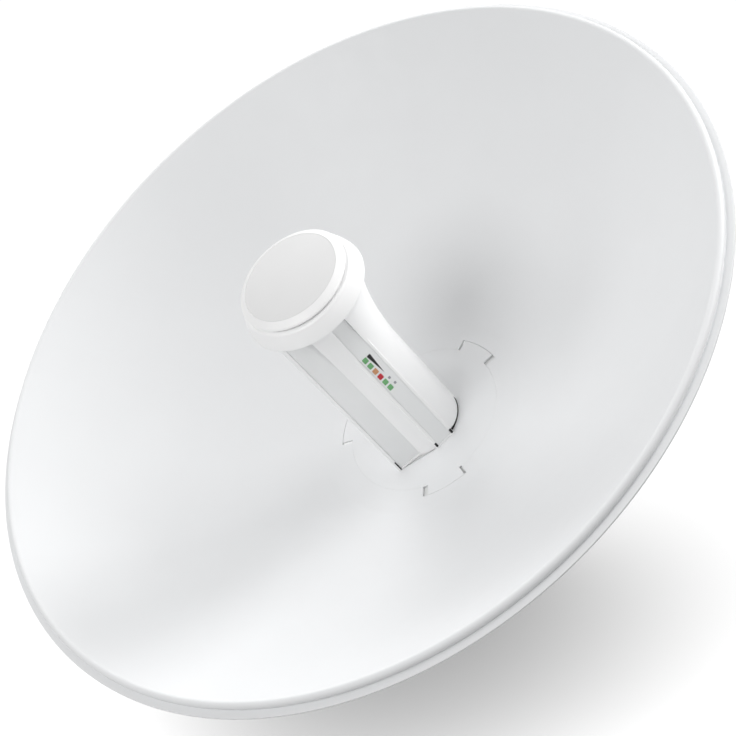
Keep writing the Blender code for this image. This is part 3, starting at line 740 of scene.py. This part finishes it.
def side_frame(turn, face, side, height):
    """Frame on a flat side of the feed: x across it, y along the feed, z out of it."""
    across_it = Vector((-math.sin(turn), math.cos(turn), 0))
    out = Vector((math.cos(turn), math.sin(turn), 0))
    place = Vector(flat_side(turn, face, side, height))
    columns = Matrix((across_it, Vector((0, 0, 1)), out)).transposed().to_4x4()
    return dish_frame() @ Matrix.Translation(place) @ columns


def corner_side(feed):
    return math.sqrt(feed.corner ** 2 - feed.label_face ** 2)


def label_middle(feed):
    return -corner_side(feed) + feed.label_lip + feed.label_width / 2


def flare(feed, height):
    """Middle and radius of the feed's round part at a height, with a small cove under the cap."""
    share = max(0.0, (height - feed.flare_start) / (feed.top - feed.flare_start)) ** feed.flare_growth
    cove = max(0.0, 1 - (feed.top - height) / 0.005) ** 2 * 0.0016
    middle = Vector((feed.shift_x, feed.shift_y)) * (1 - share)
    return middle, feed.radius + (feed.flare_radius - feed.radius) * share + cove


def round_reach(turn, side, middle, radius):
    """How far out the round part comes in front of a flat side, side away from the side's middle."""
    out = across(1.0, turn)
    along = Vector((-out.y, out.x))
    return out.dot(middle) + math.sqrt(radius ** 2 - (side - along.dot(middle)) ** 2)


def feed_section(feed, height, cut, shrink=0.0):
    """Section of the feed tube, anticlockwise from its squared corner. The cut opens the panels' seats."""
    middle, radius = flare(feed, height)
    radius -= shrink
    reach = corner_side(feed)
    label_start = label_middle(feed) - feed.label_width / 2
    label_end = label_middle(feed) + feed.label_width / 2
    label_seat = feed.label_face - cut * (feed.label_recess + feed.panel)
    half = feed.led_width / 2
    border = half + feed.led_border

    def on_side(turn, face, side, rounding=0.0):
        return (*flat_side(turn, face - shrink, side, 0)[:2], rounding)

    def on_label(face, side, rounding=0.0):
        return on_side(feed.label_angle, face, side, rounding)

    def on_led(face, side, rounding=0.0):
        return on_side(feed.led_angle, face, side, rounding)

    def before_led(side):
        return max(feed.led_face, round_reach(feed.led_angle, side, middle, radius))

    near_foot = round_reach(feed.led_angle, -border, middle, radius)
    far_foot = round_reach(feed.led_angle, border, middle, radius)
    foot_side = across(1.0, feed.label_angle + math.pi / 2).dot(Vector(on_led(near_foot, -border)[:2]))
    corners = [on_label(feed.label_face, -reach, 0.0003)]
    corners += [on_label(feed.label_face, label_start, 0.0003), on_label(label_seat, label_start)]
    label_edge = max(feed.label_face, round_reach(feed.label_angle, label_end, middle, radius))
    corners += [on_label(label_seat, label_end), on_label(label_edge, label_end, 0.0003)]
    for share in (0.2, 0.4, 0.6, 0.8):
        side = label_end + (foot_side - label_end) * share
        corners.append(on_label(round_reach(feed.label_angle, side, middle, radius), side))
    corners += [on_led(near_foot, -border, 0.0004), on_led(max(feed.led_face, near_foot), -border, 0.0004)]
    corners += [on_led(before_led(-half), -half, 0.0003)]
    for share in (-1.0, -0.33, 0.33, 1.0):
        side = share * half
        closed = before_led(side)
        corners.append(on_led(closed + (feed.led_face - feed.panel - closed) * cut, side))
    corners += [on_led(before_led(half), half, 0.0003)]
    corners += [on_led(max(feed.led_face, far_foot), border, 0.0004), on_led(far_foot, border, 0.0004)]
    out = Vector(corners[0][:2]) - middle
    start = math.atan2(corners[-1][1] - middle.y, corners[-1][0] - middle.x)
    end = math.atan2(out.y, out.x) - math.acos(radius / out.length) + 2 * math.pi
    corners += [(x, y, 0.0) for x, y in arc(middle, radius, start, end, 120)[1:]]
    return [(x, y, height) for x, y in rounded(corners)]


class ANTENNA_OT_feed(bpy.types.Operator):
    """Adds the feed tube with the seats of its two side panels"""

    bl_idname = "antenna.add_feed"
    bl_label = "Add Feed Tube"

    def execute(self, context):
        feed = settings("feed")
        foot = settings("hub").front + 0.00002
        bottom = max(feed.led_bottom, feed.label_bottom)
        sections = [feed_section(feed, foot, 0.0, 0.0001), feed_section(feed, foot + 0.0001, 0.0)]
        sections += [feed_section(feed, bottom, 0.0), feed_section(feed, bottom, 1.0)]
        steps = 36
        for i in range(steps + 1):
            height = feed.flare_start + (feed.top - GAP - feed.flare_start) * i / steps
            sections.append(feed_section(feed, height, 1.0))
        add_piece("feed_body", lofted(sections), finish(asa_plastic), ["feed_tube"])
        return {"FINISHED"}


def panel_mesh(turn, side, width, line, thickness):
    """Film panel across a flat side. The line runs up its face as pairs (height, distance from the axis)."""
    closed = line + [(height, face - thickness) for height, face in reversed(line)]
    edge = 0.0001
    half = width / 2
    sections = []
    for inset, place in ((edge, -half), (0.0, edge - half), (0.0, half - edge), (edge, half)):
        front = [flat_side(turn, face - inset, side + place, height) for height, face in closed[:len(line)]]
        back = [flat_side(turn, face + inset, side + place, height) for height, face in closed[len(line):]]
        sections.append(front + back)
    return lofted(sections)


class ANTENNA_OT_panels(bpy.types.Operator):
    """Adds the label panel, the panel with the lights and painted shadow in the openings at their feet"""

    bl_idname = "antenna.add_panels"
    bl_label = "Add Side Panels"

    def execute(self, context):
        feed = settings("feed")
        film = finish(panel_film)
        top = feed.top - GAP
        slack = 0.00004
        thick = feed.panel - GAP
        face = feed.label_face - feed.label_recess
        line = [(feed.label_bottom + slack, face), (top, face)]
        mesh = panel_mesh(feed.label_angle, label_middle(feed), feed.label_width - slack, line, thick)
        add_piece("label_film", mesh, film, ["label_panel"])
        face = feed.led_face - feed.led_inset
        bend = 0.0085
        bend_out = 0.0062
        line = [(feed.led_bottom + slack, face)]
        for i in range(13):
            share = i / 12
            line.append((top - bend + bend * share, face + bend_out * share ** feed.flare_growth))
        mesh = panel_mesh(feed.led_angle, 0.0, feed.led_width - slack, line, thick)
        add_piece("light_panel", mesh, film, ["led_panel"])
        self.add_catch_shadows(feed)
        self.add_round_catch_shadow(feed)
        return {"FINISHED"}

    def add_catch_shadows(self, feed):
        """Painted shadow: thin near-black sheets in the openings at the feet of the panels, where the feed's
        shell clips to the hub.
        """
        thick = 0.00012
        border = (feed.led_width + feed.led_border) / 2
        slit_side = label_middle(feed) - feed.label_width / 2 - 0.00042
        # Name, direction and face of the side, then place across it, height, width and length of the opening.
        catches = (
            ("catch_right", feed.led_angle, feed.led_face, border, 0.0035, 0.0014, 0.0036),
            ("catch_left", feed.led_angle, feed.led_face, -border, 0.0035, 0.0012, 0.0034),
            ("catch_slit", feed.label_angle, feed.label_face, slit_side, 0.0048, 0.0007, 0.0074),
        )
        for name, turn, face, side, height, wide, tall in catches:
            # Each opening is drawn as a near-black sheet on the surface: painted shadow.
            mesh = plate([rounded_box(wide, tall, wide * 0.45)], thick, 0.00002)
            place = side_frame(turn, face + thick / 2 - 0.00002, side, height)
            add_piece(name, mesh, finish(shadow_gap), place=place)

    def add_round_catch_shadow(self, feed):
        """Painted shadow: a thin near-black curved strip along the round part's foot, where the tube meets
        the hub, taller at both ends.
        """
        thick = 0.00012
        start = math.radians(-14)
        sweep = math.radians(58)
        steps = 16
        foot = settings("hub").front + 0.0001
        middle = Vector((feed.shift_x, feed.shift_y))
        sections = []
        for i in range(steps + 1):
            share = i / steps
            turn = start + sweep * share
            top = foot + 0.0008 + 0.0014 * abs(2 * share - 1) ** 3
            inner = middle + across(feed.radius - thick, turn)
            outer = middle + across(feed.radius + thick, turn)
            sections.append([(*inner, foot), (*outer, foot), (*outer, top), (*inner, top)])
        add_piece("catch_round", lofted(sections), finish(shadow_gap))


class ANTENNA_OT_lights(bpy.types.Operator):
    """Adds the six signal lights and the printed marks beside them"""

    bl_idname = "antenna.add_lights"
    bl_label = "Add Signal Lights"

    def execute(self, context):
        feed = settings("feed")
        lights = settings("lights")
        face = feed.led_face - feed.led_inset
        sunk = 0.00002
        outline = rounded_box(lights.wide, lights.tall, 0.0004)
        for index, name in enumerate(("green", "green", "amber", "red", "green", "green")):
            material = finish(lens_plastic, name)
            place = side_frame(feed.led_angle, face + lights.thick / 2 - sunk, lights.side,
                               lights.first - index * lights.pitch)
            add_piece(f"signal_light_{index + 1}", plate([outline], lights.thick, 0.00015), material,
                      [f"led_lens_{index + 1}"], place)
        half = 0.0011
        wedge = rounded([(-half, 0.0, 0.0005), (half, 0.0, 0.0005), (0.0001, -lights.wedge_long, 0.0)], 5)
        dot = rounded_box(lights.mark_wide, lights.mark_tall, 0.0004)
        # Name, outline and ink of each mark, then its place across the panel and its height.
        marks = (
            ("strength_wedge", wedge, black_ink, lights.wedge_side, lights.wedge_top),
            ("port_mark_1", dot, grey_ink, 0.0010, 0.0617),
            ("port_mark_2", dot, grey_ink, 0.0014, 0.0565),
        )
        for name, outline, ink, side, height in marks:
            place = side_frame(feed.led_angle, face + lights.ink / 2, side, height)
            add_piece(name, plate([outline], lights.ink, 0.00001), finish(ink), place=place)
        return {"FINISHED"}


class ANTENNA_OT_cap(bpy.types.Operator):
    """Adds the round cap and the disc with its front face"""

    bl_idname = "antenna.add_cap"
    bl_label = "Add Cap"

    def execute(self, context):
        feed = settings("feed")
        white = finish(asa_plastic)
        steps = 180
        shoulder = feed.cap_shoulder
        lowest = feed.cap_bottom + 0.0009
        corners = [(0.0, shoulder, 0), (feed.disc_neck, shoulder, 0)]
        corners += [(feed.cap_upper - 0.0008, shoulder - 0.0002, 0.0004)]
        for i in range(12):
            share = 1 - i / 11
            radius = feed.cap - (feed.cap - feed.cap_upper) * share ** 1.35
            corners.append((radius, lowest + (shoulder - 0.0009 - lowest) * share, 0.0003))
        corners += [(feed.cap - 0.0009, feed.cap_bottom, 0.0005), (0.0, feed.cap_bottom, 0)]
        mesh = turned(rounded(corners, 5), steps, sharp=50)
        add_piece("cap", mesh, white, ["feed_cap"])
        inlay = 0.0003
        top = feed.disc_top
        flat = feed.disc_flat
        mesh = plate([circle(flat - 0.0002, steps)], inlay, 0.00008)
        place = dish_frame() @ Matrix.Translation((0, 0, top - inlay / 2))
        add_piece("cap_inlay", mesh, finish(cap_plastic), ["feed_cap_face"], place)
        corners = [(0.0, top - inlay, 0), (flat - 0.0001, top - inlay, 0), (flat - 0.00005, top, 0.0001)]
        corners += [(flat + 0.0001, top, 0.0002), (feed.disc - 0.0009, top - 0.0018, 0.0010)]
        corners += [(feed.disc, top - 0.0028, 0.0006), (feed.disc_neck, shoulder + 0.0012, 0.0003)]
        corners += [(feed.disc_neck, shoulder + GAP, 0), (0.0, shoulder + GAP, 0)]
        mesh = turned(rounded(corners, 6), steps, sharp=50)
        add_piece("cap_front", mesh, white, ["feed_cap_face"])
        return {"FINISHED"}


def soft_box(width, height, depth, radius, steps=6, groove=None):
    """Box about the origin with rounded edges all round and, if asked, a fine groove about its middle."""
    turns = [i * math.pi / 2 / steps for i in range(steps + 1)]
    rows = [(radius * (1 - math.sin(t)), -depth / 2 + radius * (1 - math.cos(t))) for t in turns]
    if groove:
        rows += [(0.0, -groove), (groove, -groove * 0.4), (groove, groove * 0.4), (0.0, groove)]
    rows += [(radius * (1 - math.sin(t)), depth / 2 - radius * (1 - math.cos(t))) for t in reversed(turns)]
    sections = []
    for inset, z in rows:
        outline = rounded_box(width - 2 * inset, height - 2 * inset, max(radius - inset, 0.2 * radius), 8)
        sections.append([(x, y, z) for x, y in outline])
    return lofted(sections)


def ring_of(count, reach, height):
    """Closed section whose distance from the axis is a function of the turn."""
    points = []
    for i in range(count):
        turn = 2 * math.pi * i / count
        point = across(reach(turn), turn)
        points.append((point.x, point.y, height))
    return points


def hexagon(corner):
    """Distance from the axis to a hexagon's side, as a function of the turn."""
    return lambda turn: corner * math.cos(math.pi / 6) / math.cos((turn % (math.pi / 3)) - math.pi / 6)


def evenly(radius):
    return lambda turn: radius


class ANTENNA_OT_housing(bpy.types.Operator):
    """Adds the housing behind the dish with its port cover and cable gland"""

    bl_idname = "antenna.add_housing"
    bl_label = "Add Housing"

    def execute(self, context):
        box = settings("housing")
        middle = -settings("reflector").sheet - GAP - box.depth / 2
        white = finish(housing_plastic)
        mesh = soft_box(box.width, box.height, box.depth, box.rounding, 8, 0.0005)
        place = dish_frame() @ Matrix.Translation((0, 0, middle))
        add_piece("housing", mesh, white, ["rear_housing"], place)
        bottom = -box.height / 2 - GAP
        face_down = Matrix.Rotation(math.pi / 2, 4, "X")
        mesh = soft_box(box.cover_width, box.cover_depth, box.cover_sheet, 0.0008, 3)
        place = dish_frame() @ Matrix.Translation((0, bottom - box.cover_sheet / 2, middle)) @ face_down
        add_piece("port_door", mesh, white, ["port_cover"], place)
        place = dish_frame() @ Matrix.Translation((0, bottom - box.cover_sheet - GAP, middle)) @ face_down
        add_piece("gland", self.gland(box), finish(gland_rubber), ["cable_gland"], place)
        return {"FINISHED"}

    def gland(self, box):
        """Gland with a hexagon foot, a ribbed nut and a plug in its mouth."""
        outer = box.gland_radius
        tall = box.gland_length

        def ribbed(radius):
            return lambda turn: radius * (1 - 0.035 * (0.5 - 0.5 * math.cos(20 * turn)))

        rows = [(evenly(0.83), 0.0), (hexagon(0.97), 0.0), (hexagon(0.97), 0.17), (evenly(0.80), 0.19)]
        rows += [(evenly(0.80), 0.24), (evenly(0.93), 0.26), (ribbed(0.99), 0.29), (ribbed(0.99), 0.62)]
        rows += [(evenly(0.90), 0.72), (evenly(0.78), 0.84), (evenly(0.62), 0.94), (evenly(0.50), 1.0)]
        rows += [(evenly(0.42), 1.0), (evenly(0.40), 0.95), (evenly(0.15), 0.93)]
        sections = []
        for reach, height in rows:
            sections.append(ring_of(120, lambda turn, share=reach: outer * share(turn), tall * height))
        return lofted(sections, sharp=30)


def bolt_mesh(sizes, reach):
    """Round-headed bolt along +z: the head's underside at zero, the shank's threaded end below it."""
    head = sizes.head_height
    wide = sizes.head_radius
    turns = [i * math.pi / 24 for i in range(13)]
    profile = [(wide * math.sin(t), head * (0.12 + 0.88 * math.cos(t))) for t in turns]
    profile += [(wide, 0.0004), (wide - 0.0003, 0.0), (sizes.bolt, 0.0)]
    pitch = 0.00125
    thread_depth = 0.00055
    end = 0.0008
    z = -reach + end + 8 * pitch
    profile.append((sizes.bolt, z))
    while z > -reach + end + 0.3 * pitch:
        profile += [(sizes.bolt - thread_depth, z - pitch / 2), (sizes.bolt, z - pitch)]
        z -= pitch
    profile += [(sizes.bolt - end, -reach), (0.0, -reach)]
    return turned(profile, 64, sharp=32)


def nut_mesh(sizes):
    """Hexagon nut about the origin, chamfered at both ends."""
    high = sizes.nut_height / 2
    chamfer = 0.0008
    corner = hexagon(sizes.nut_corner)
    narrow = sizes.nut_corner * 0.90

    def eased(turn):
        return min(corner(turn), narrow)

    bore = evenly(sizes.bolt + 0.0002)
    rows = [(eased, -high), (corner, -high + chamfer), (corner, high - chamfer), (eased, high)]
    rows += [(bore, high), (bore, -high)]
    return lofted([ring_of(96, reach, z) for reach, z in rows], closed_ring=True, sharp=25)


def spacer_mesh(sizes, tall):
    """Round tube about the origin with its edges broken."""
    edge = 0.0004
    wide = sizes.spacer
    bore = sizes.bolt + 0.0002
    profile = [(bore, -tall / 2), (wide - edge, -tall / 2), (wide, -tall / 2 + edge), (wide, tall / 2 - edge)]
    profile += [(wide - edge, tall / 2), (bore, tall / 2)]
    return turned(profile, 64, closed=True)


def screw_head(radius, tall, rows, sharp):
    """Screw head on the origin. Each row gives a shape and its shares of the radius and of the height."""
    return lofted([ring_of(60, shape(radius * share), tall * height) for shape, share, height in rows],
                  sharp=sharp)


def socket_screw_mesh(radius, tall):
    """Pan head with a hexagon socket."""
    rows = [(evenly, 0.94, 0.0), (evenly, 1.0, 0.06), (evenly, 1.0, 0.30), (evenly, 0.95, 0.58)]
    rows += [(evenly, 0.84, 0.82), (evenly, 0.66, 0.96), (evenly, 0.50, 1.0)]
    rows += [(hexagon, 0.42, 1.0), (hexagon, 0.40, 0.4)]
    return screw_head(radius, tall, rows, 35)


def earth_screw_mesh(radius, tall):
    """Hexagon head with a washer face and a dished top."""
    rows = [(evenly, 0.96, 0.0), (evenly, 1.0, 0.05), (evenly, 1.0, 0.20)]
    rows += [(hexagon, 0.90, 0.24), (hexagon, 0.90, 0.88), (evenly, 0.76, 1.0), (evenly, 0.50, 0.94)]
    return screw_head(radius, tall, rows, 30)


class ANTENNA_OT_yoke(bpy.types.Operator):
    """Adds the yoke on the housing's back with its screws"""

    bl_idname = "antenna.add_yoke"
    bl_label = "Add Yoke"

    def execute(self, context):
        sizes = settings("bracket")
        steel = finish(zinc_plated_steel)
        front = -(settings("reflector").sheet + 2 * GAP + settings("housing").depth)
        mesh = plate([rounded_box(sizes.yoke_width, sizes.yoke_height, 0.008, 8)], sizes.sheet)
        place = dish_frame() @ Matrix.Translation((0, 0, front - sizes.sheet / 2))
        add_piece("yoke_back", mesh, steel, ["yoke_plate"], place)
        for side, x in SIDES:
            mesh = plate(self.ear(sizes), sizes.sheet)
            place = Matrix.Translation((x * (sizes.ear_inner + sizes.sheet / 2), 0, 0)) @ upright()
            add_piece(f"ear_{side}", mesh, steel, [f"yoke_ear_{side}"], pivot_frame() @ place)
        back = dish_frame() @ Matrix.Translation((0, 0, front - sizes.sheet - GAP))
        back = back @ Matrix.Rotation(math.pi, 4, "X")
        x = sizes.yoke_width / 2 - 0.0062
        y = sizes.yoke_height / 2 - 0.007
        for index, spot in enumerate(((x, -y), (-x, -y), (-x, y), (x, y))):
            add_piece(f"box_screw_{index + 1}", socket_screw_mesh(0.0045, 0.0028), steel,
                      [f"housing_screw_{index + 1}"], back @ Matrix.Translation((*spot, 0)))
        mesh = earth_screw_mesh(0.0055, 0.0040)
        place = back @ Matrix.Translation((0, y, 0))
        add_piece("ground_screw", mesh, finish(plain_brass), ["earth_screw"], place)
        return {"FINISHED"}

    def ear(self, sizes):
        """Side view of an ear about the pivot: back is x, up is y."""
        root = -(sizes.pivot_to_yoke - GAP)
        tail = arc((sizes.lock, 0), sizes.ear_tail, -math.pi / 2, math.pi / 2, 32)
        corners = [(x, y, 0.0) for x, y in tail]
        corners += [(0.006, sizes.ear_height, 0.006), (-0.006, sizes.ear_height, 0.006)]
        corners += [(root, sizes.ear_root, 0.001), (root, -sizes.ear_root, 0.001)]
        corners += [(-0.006, -sizes.ear_height, 0.006), (0.006, -sizes.ear_height, 0.006)]
        hole = circle(sizes.bolt + GAP, 48)
        far_hole = circle(sizes.bolt + GAP, 48, (sizes.lock, 0))
        return [rounded(corners, 6), hole, far_hole]


def upright():
    """Turns a plate drawn flat to stand on edge: its x runs back, its y up, its thickness across."""
    return Matrix.Rotation(math.pi / 2, 4, "Z") @ Matrix.Rotation(math.pi / 2, 4, "X")


def sideways(x):
    """Turns a piece made along +z to point to the right, or to the left where x is below zero."""
    return Matrix.Rotation(math.copysign(math.pi / 2, x), 4, "Y")


class ANTENNA_OT_bolts(bpy.types.Operator):
    """Adds the lock bolts and the pivot bolt with their nuts and spacers"""

    bl_idname = "antenna.add_bolts"
    bl_label = "Add Bolts"

    def execute(self, context):
        sizes = settings("bracket")
        steel = finish(zinc_plated_steel)
        outer = sizes.cheek_inner + sizes.sheet + GAP
        inner = sizes.ear_inner - GAP
        ear_outer = sizes.ear_inner + sizes.sheet
        spacer = sizes.cheek_inner - ear_outer - 2 * GAP
        between = ear_outer + GAP + spacer / 2
        end = sizes.nut_height + sizes.bolt_end
        half_nut = sizes.nut_height / 2
        locks = pivot_frame() @ Matrix.Translation((0, sizes.lock, 0))
        pivot = bracket_frame()

        def add(name, node, mesh, x, frame, body):
            place = frame @ Matrix.Translation((x, 0, 0)) @ sideways(x)
            add_piece(name, mesh, steel, [node], place, body)

        for side, x in SIDES:
            bolt = bolt_mesh(sizes, outer - inner + end)
            add(f"clamp_bolt_{side}", f"lock_bolt_{side}", bolt, x * outer, locks, HEAD)
            nut = nut_mesh(sizes)
            add(f"clamp_nut_{side}", f"lock_nut_{side}", nut, x * (inner - half_nut), locks, HEAD)
            tube = spacer_mesh(sizes, spacer)
            add(f"clamp_spacer_{side}", f"lock_spacer_{side}", tube, x * between, locks, HEAD)
            tube = spacer_mesh(sizes, spacer)
            add(f"axis_spacer_{side}", f"pivot_spacer_{side}", tube, x * between, pivot, BRACKET)
        add("axis_bolt", "pivot_bolt", bolt_mesh(sizes, 2 * outer + end), outer, pivot, BRACKET)
        add("axis_nut", "pivot_nut", nut_mesh(sizes), -outer - half_nut, pivot, BRACKET)
        return {"FINISHED"}


class ANTENNA_OT_bracket(bpy.types.Operator):
    """Adds the fixed bracket: two cheeks with curved slots and the mast plate"""

    bl_idname = "antenna.add_bracket"
    bl_label = "Add Bracket"

    def execute(self, context):
        sizes = settings("bracket")
        steel = finish(zinc_plated_steel)
        thick = MAST_HIGH.y - MAST_LOW.y
        rear = -TILT_JOINT["pos_m"][1] - thick - GAP
        nose = arc((0, 0), sizes.cheek_nose, math.radians(135), math.radians(215), 32)
        outline = [(x, y, 0.0) for x, y in nose]
        outline += [(0.0, -sizes.cheek_bottom + 0.006, 0.003), (0.006, -sizes.cheek_bottom, 0.003)]
        outline += [(rear, -sizes.cheek_bottom, 0.0008), (rear, sizes.cheek_top, 0.0008)]
        outline += [(0.014, sizes.cheek_top, 0.006)]
        slot = curved_slot(sizes.lock, math.radians(-48), math.radians(3), sizes.bolt + 2 * GAP)
        outlines = [rounded(outline, 6), circle(sizes.bolt + GAP, 48), slot]
        for side, x in SIDES:
            mesh = plate(outlines, sizes.sheet)
            place = Matrix.Translation((x * (sizes.cheek_inner + sizes.sheet / 2), 0, 0)) @ upright()
            place = bracket_frame() @ place
            add_piece(f"cheek_{side}", mesh, steel, [f"bracket_cheek_{side}"], place, BRACKET)
        wide = MAST_HIGH.x - MAST_LOW.x
        tall = MAST_HIGH.z - MAST_LOW.z
        outlines = [rounded_box(wide, tall, 0.006, 8)]
        for x in (-sizes.slot_x, sizes.slot_x):
            for z in (-sizes.slot_z, sizes.slot_z):
                outlines.append(slot_outline(sizes.slot_length, sizes.slot_width, (x, z)))
        place = Matrix.Translation((0, -thick / 2, 0)) @ Matrix.Rotation(math.pi / 2, 4, "X")
        mesh = plate(outlines, thick)
        add_piece("mast_face", mesh, steel, ["mast_plate"], place, BRACKET)
        return {"FINISHED"}


class ANTENNA_OT_stage(bpy.types.Operator):
    """Adds the floor, the lights and the camera"""

    bl_idname = "antenna.add_stage"
    bl_label = "Add Stage"

    def execute(self, context):
        studio = settings("studio")
        add_floor(studio)
        add_camera(studio)
        add_lights(studio)
        add_world(studio)
        return {"FINISHED"}


def add_floor(studio):
    shape = bmesh.new()
    bmesh.ops.create_circle(shape, cap_ends=True, radius=studio.floor_reach, segments=96)
    mesh = bpy.data.meshes.new("studio_floor")
    shape.to_mesh(mesh)
    shape.free()
    floor = bpy.data.objects.new("studio_floor", mesh)
    floor.location = (0, 0, studio.floor_height)
    floor.visible_diffuse = False
    mesh.materials.append(finish(painted_floor))
    bpy.context.scene.collection.objects.link(floor)


def turned_away(azimuth, elevation):
    """Direction away from the antenna. No azimuth is straight in front, more of it goes to the right."""
    level = across(math.cos(elevation), azimuth - math.pi / 2)
    return Vector((level.x, level.y, math.sin(elevation)))


def add_camera(studio):
    """Camera at the photographed angle, aimed beside the middle of the rim."""
    back = turned_away(studio.azimuth, studio.elevation)
    right = Vector((math.cos(studio.azimuth), math.sin(studio.azimuth), 0))
    up = back.cross(right)
    rim = dish_frame() @ Vector((0, 0, settings("reflector").lip_height))
    data = bpy.data.cameras.new("camera")
    data.lens = studio.lens
    data.sensor_width = 36.0
    data.clip_end = 40.0
    camera = bpy.data.objects.new("camera", data)
    camera.location = rim + right * studio.aim_right - up * studio.aim_down + back * studio.distance
    camera.rotation_mode = "QUATERNION"
    camera.rotation_quaternion = (-back).to_track_quat("-Z", "Y")
    bpy.context.scene.collection.objects.link(camera)
    bpy.context.scene.camera = camera


LAMP_AIM = (0, -0.15, 0.08)
LAMP_DISTANCE = 2.2
# Name, azimuth and elevation in degrees, width and power of each soft box.
LAMPS = (
    ("back_right", 135, 55, 1.0, 31.5),
    ("left", -90, 55, 1.0, 7.5),
    ("left_low", -90, 30, 1.0, 6.6),
    ("right", 90, 55, 1.0, 10.2),
    ("right_low", 90, 30, 1.0, 2.2),
    ("front_low", 0, 5, 1.0, 14.5),
    ("front_left", -30, 5, 1.0, 5.4),
)
FEED_LAMP = ("feed", 72, -7, 0.8, 8.3)
FEED_PIECES = ("feed_body", "label_film", "light_panel", "cap", "cap_front", "cap_inlay")


def linked_to(lamp, pieces, state):
    """Makes a lamp light only these pieces, or everything but them."""
    group = bpy.data.collections.new(lamp.name + "_lights")
    for piece in pieces:
        group.objects.link(piece)
    for link in group.collection_objects:
        link.light_linking.link_state = state
    lamp.light_linking.receiver_collection = group


def add_lamp(name, kind, away):
    data = bpy.data.lights.new(name, kind)
    lamp = bpy.data.objects.new("lamp_" + name, data)
    lamp.location = Vector(LAMP_AIM) + away * LAMP_DISTANCE
    lamp.rotation_mode = "QUATERNION"
    lamp.rotation_quaternion = away.to_track_quat("Z", "Y")
    bpy.context.scene.collection.objects.link(lamp)
    return lamp, data


def add_soft_box(name, azimuth, elevation, size, watts):
    lamp, data = add_lamp(name, "AREA", turned_away(math.radians(azimuth), math.radians(elevation)))
    data.shape = "DISK"
    data.size = size
    data.energy = watts
    return lamp


def add_lights(studio):
    """Soft boxes aimed at the dish, one on the feed alone, and a broad light on the floor alone."""
    floor = [bpy.data.objects["studio_floor"]]
    for values in LAMPS:
        linked_to(add_soft_box(*values), floor, "EXCLUDE")
    linked_to(add_soft_box(*FEED_LAMP), [bpy.data.objects[name] for name in FEED_PIECES], "INCLUDE")
    lamp, data = add_lamp("floor", "SUN", turned_away(studio.sweep_azimuth, studio.sweep_elevation))
    data.angle = studio.sweep_angle
    data.energy = studio.sweep_strength
    linked_to(lamp, floor, "INCLUDE")


def add_world(studio):
    """White beyond the floor, and a dimmer even light on the antenna."""
    world = bpy.data.worlds.new("studio")
    world.use_nodes = True
    tree = world.node_tree
    seen = add_node(tree, "ShaderNodeBackground", {"Color": (1, 1, 1, 1), "Strength": studio.backdrop})
    ambient = tree.nodes["Background"]
    ambient.inputs["Color"].default_value = (1, 1, 1, 1)
    ambient.inputs["Strength"].default_value = studio.ambient
    rays = add_node(tree, "ShaderNodeLightPath")
    links = {0: rays.outputs["Is Camera Ray"], 1: ambient.outputs[0], 2: seen.outputs[0]}
    choice = add_node(tree, "ShaderNodeMixShader", links=links)
    tree.links.new(choice.outputs[0], tree.nodes["World Output"].inputs["Surface"])
    bpy.context.scene.world = world
    bpy.context.scene.view_settings.view_transform = "Standard"


OPERATORS = (
    ANTENNA_OT_reflector,
    ANTENNA_OT_hub,
    ANTENNA_OT_feed,
    ANTENNA_OT_panels,
    ANTENNA_OT_lights,
    ANTENNA_OT_cap,
    ANTENNA_OT_housing,
    ANTENNA_OT_yoke,
    ANTENNA_OT_bolts,
    ANTENNA_OT_bracket,
    ANTENNA_OT_stage,
)


class VIEW3D_PT_antenna(bpy.types.Panel):
    """Sizes, colours and the buttons that build the antenna"""

    bl_label = "Antenna"
    bl_space_type = "VIEW_3D"
    bl_region_type = "UI"
    bl_category = "Antenna"

    def draw(self, context):
        for name, group in GROUPS.items():
            box = self.layout.box()
            box.label(text=group.__name__)
            for key in group.__annotations__:
                box.prop(getattr(context.scene, name), key)
        for operator in OPERATORS:
            self.layout.operator(operator.bl_idname)


def register():
    for group in GROUPS.values():
        bpy.utils.register_class(group)
    for name, group in GROUPS.items():
        setattr(bpy.types.Scene, name, PointerProperty(type=group))
    for operator in OPERATORS:
        bpy.utils.register_class(operator)
    bpy.utils.register_class(VIEW3D_PT_antenna)


def unregister():
    bpy.utils.unregister_class(VIEW3D_PT_antenna)
    for operator in reversed(OPERATORS):
        bpy.utils.unregister_class(operator)
    for name, group in GROUPS.items():
        delattr(bpy.types.Scene, name)
        bpy.utils.unregister_class(group)


def main():
    register()
    bpy.ops.antenna.add_reflector()
    bpy.ops.antenna.add_hub()
    bpy.ops.antenna.add_feed()
    bpy.ops.antenna.add_panels()
    bpy.ops.antenna.add_lights()
    bpy.ops.antenna.add_cap()
    bpy.ops.antenna.add_housing()
    bpy.ops.antenna.add_yoke()
    bpy.ops.antenna.add_bolts()
    bpy.ops.antenna.add_bracket()
    bpy.ops.antenna.add_stage()


if __name__ == "__main__":
    main()
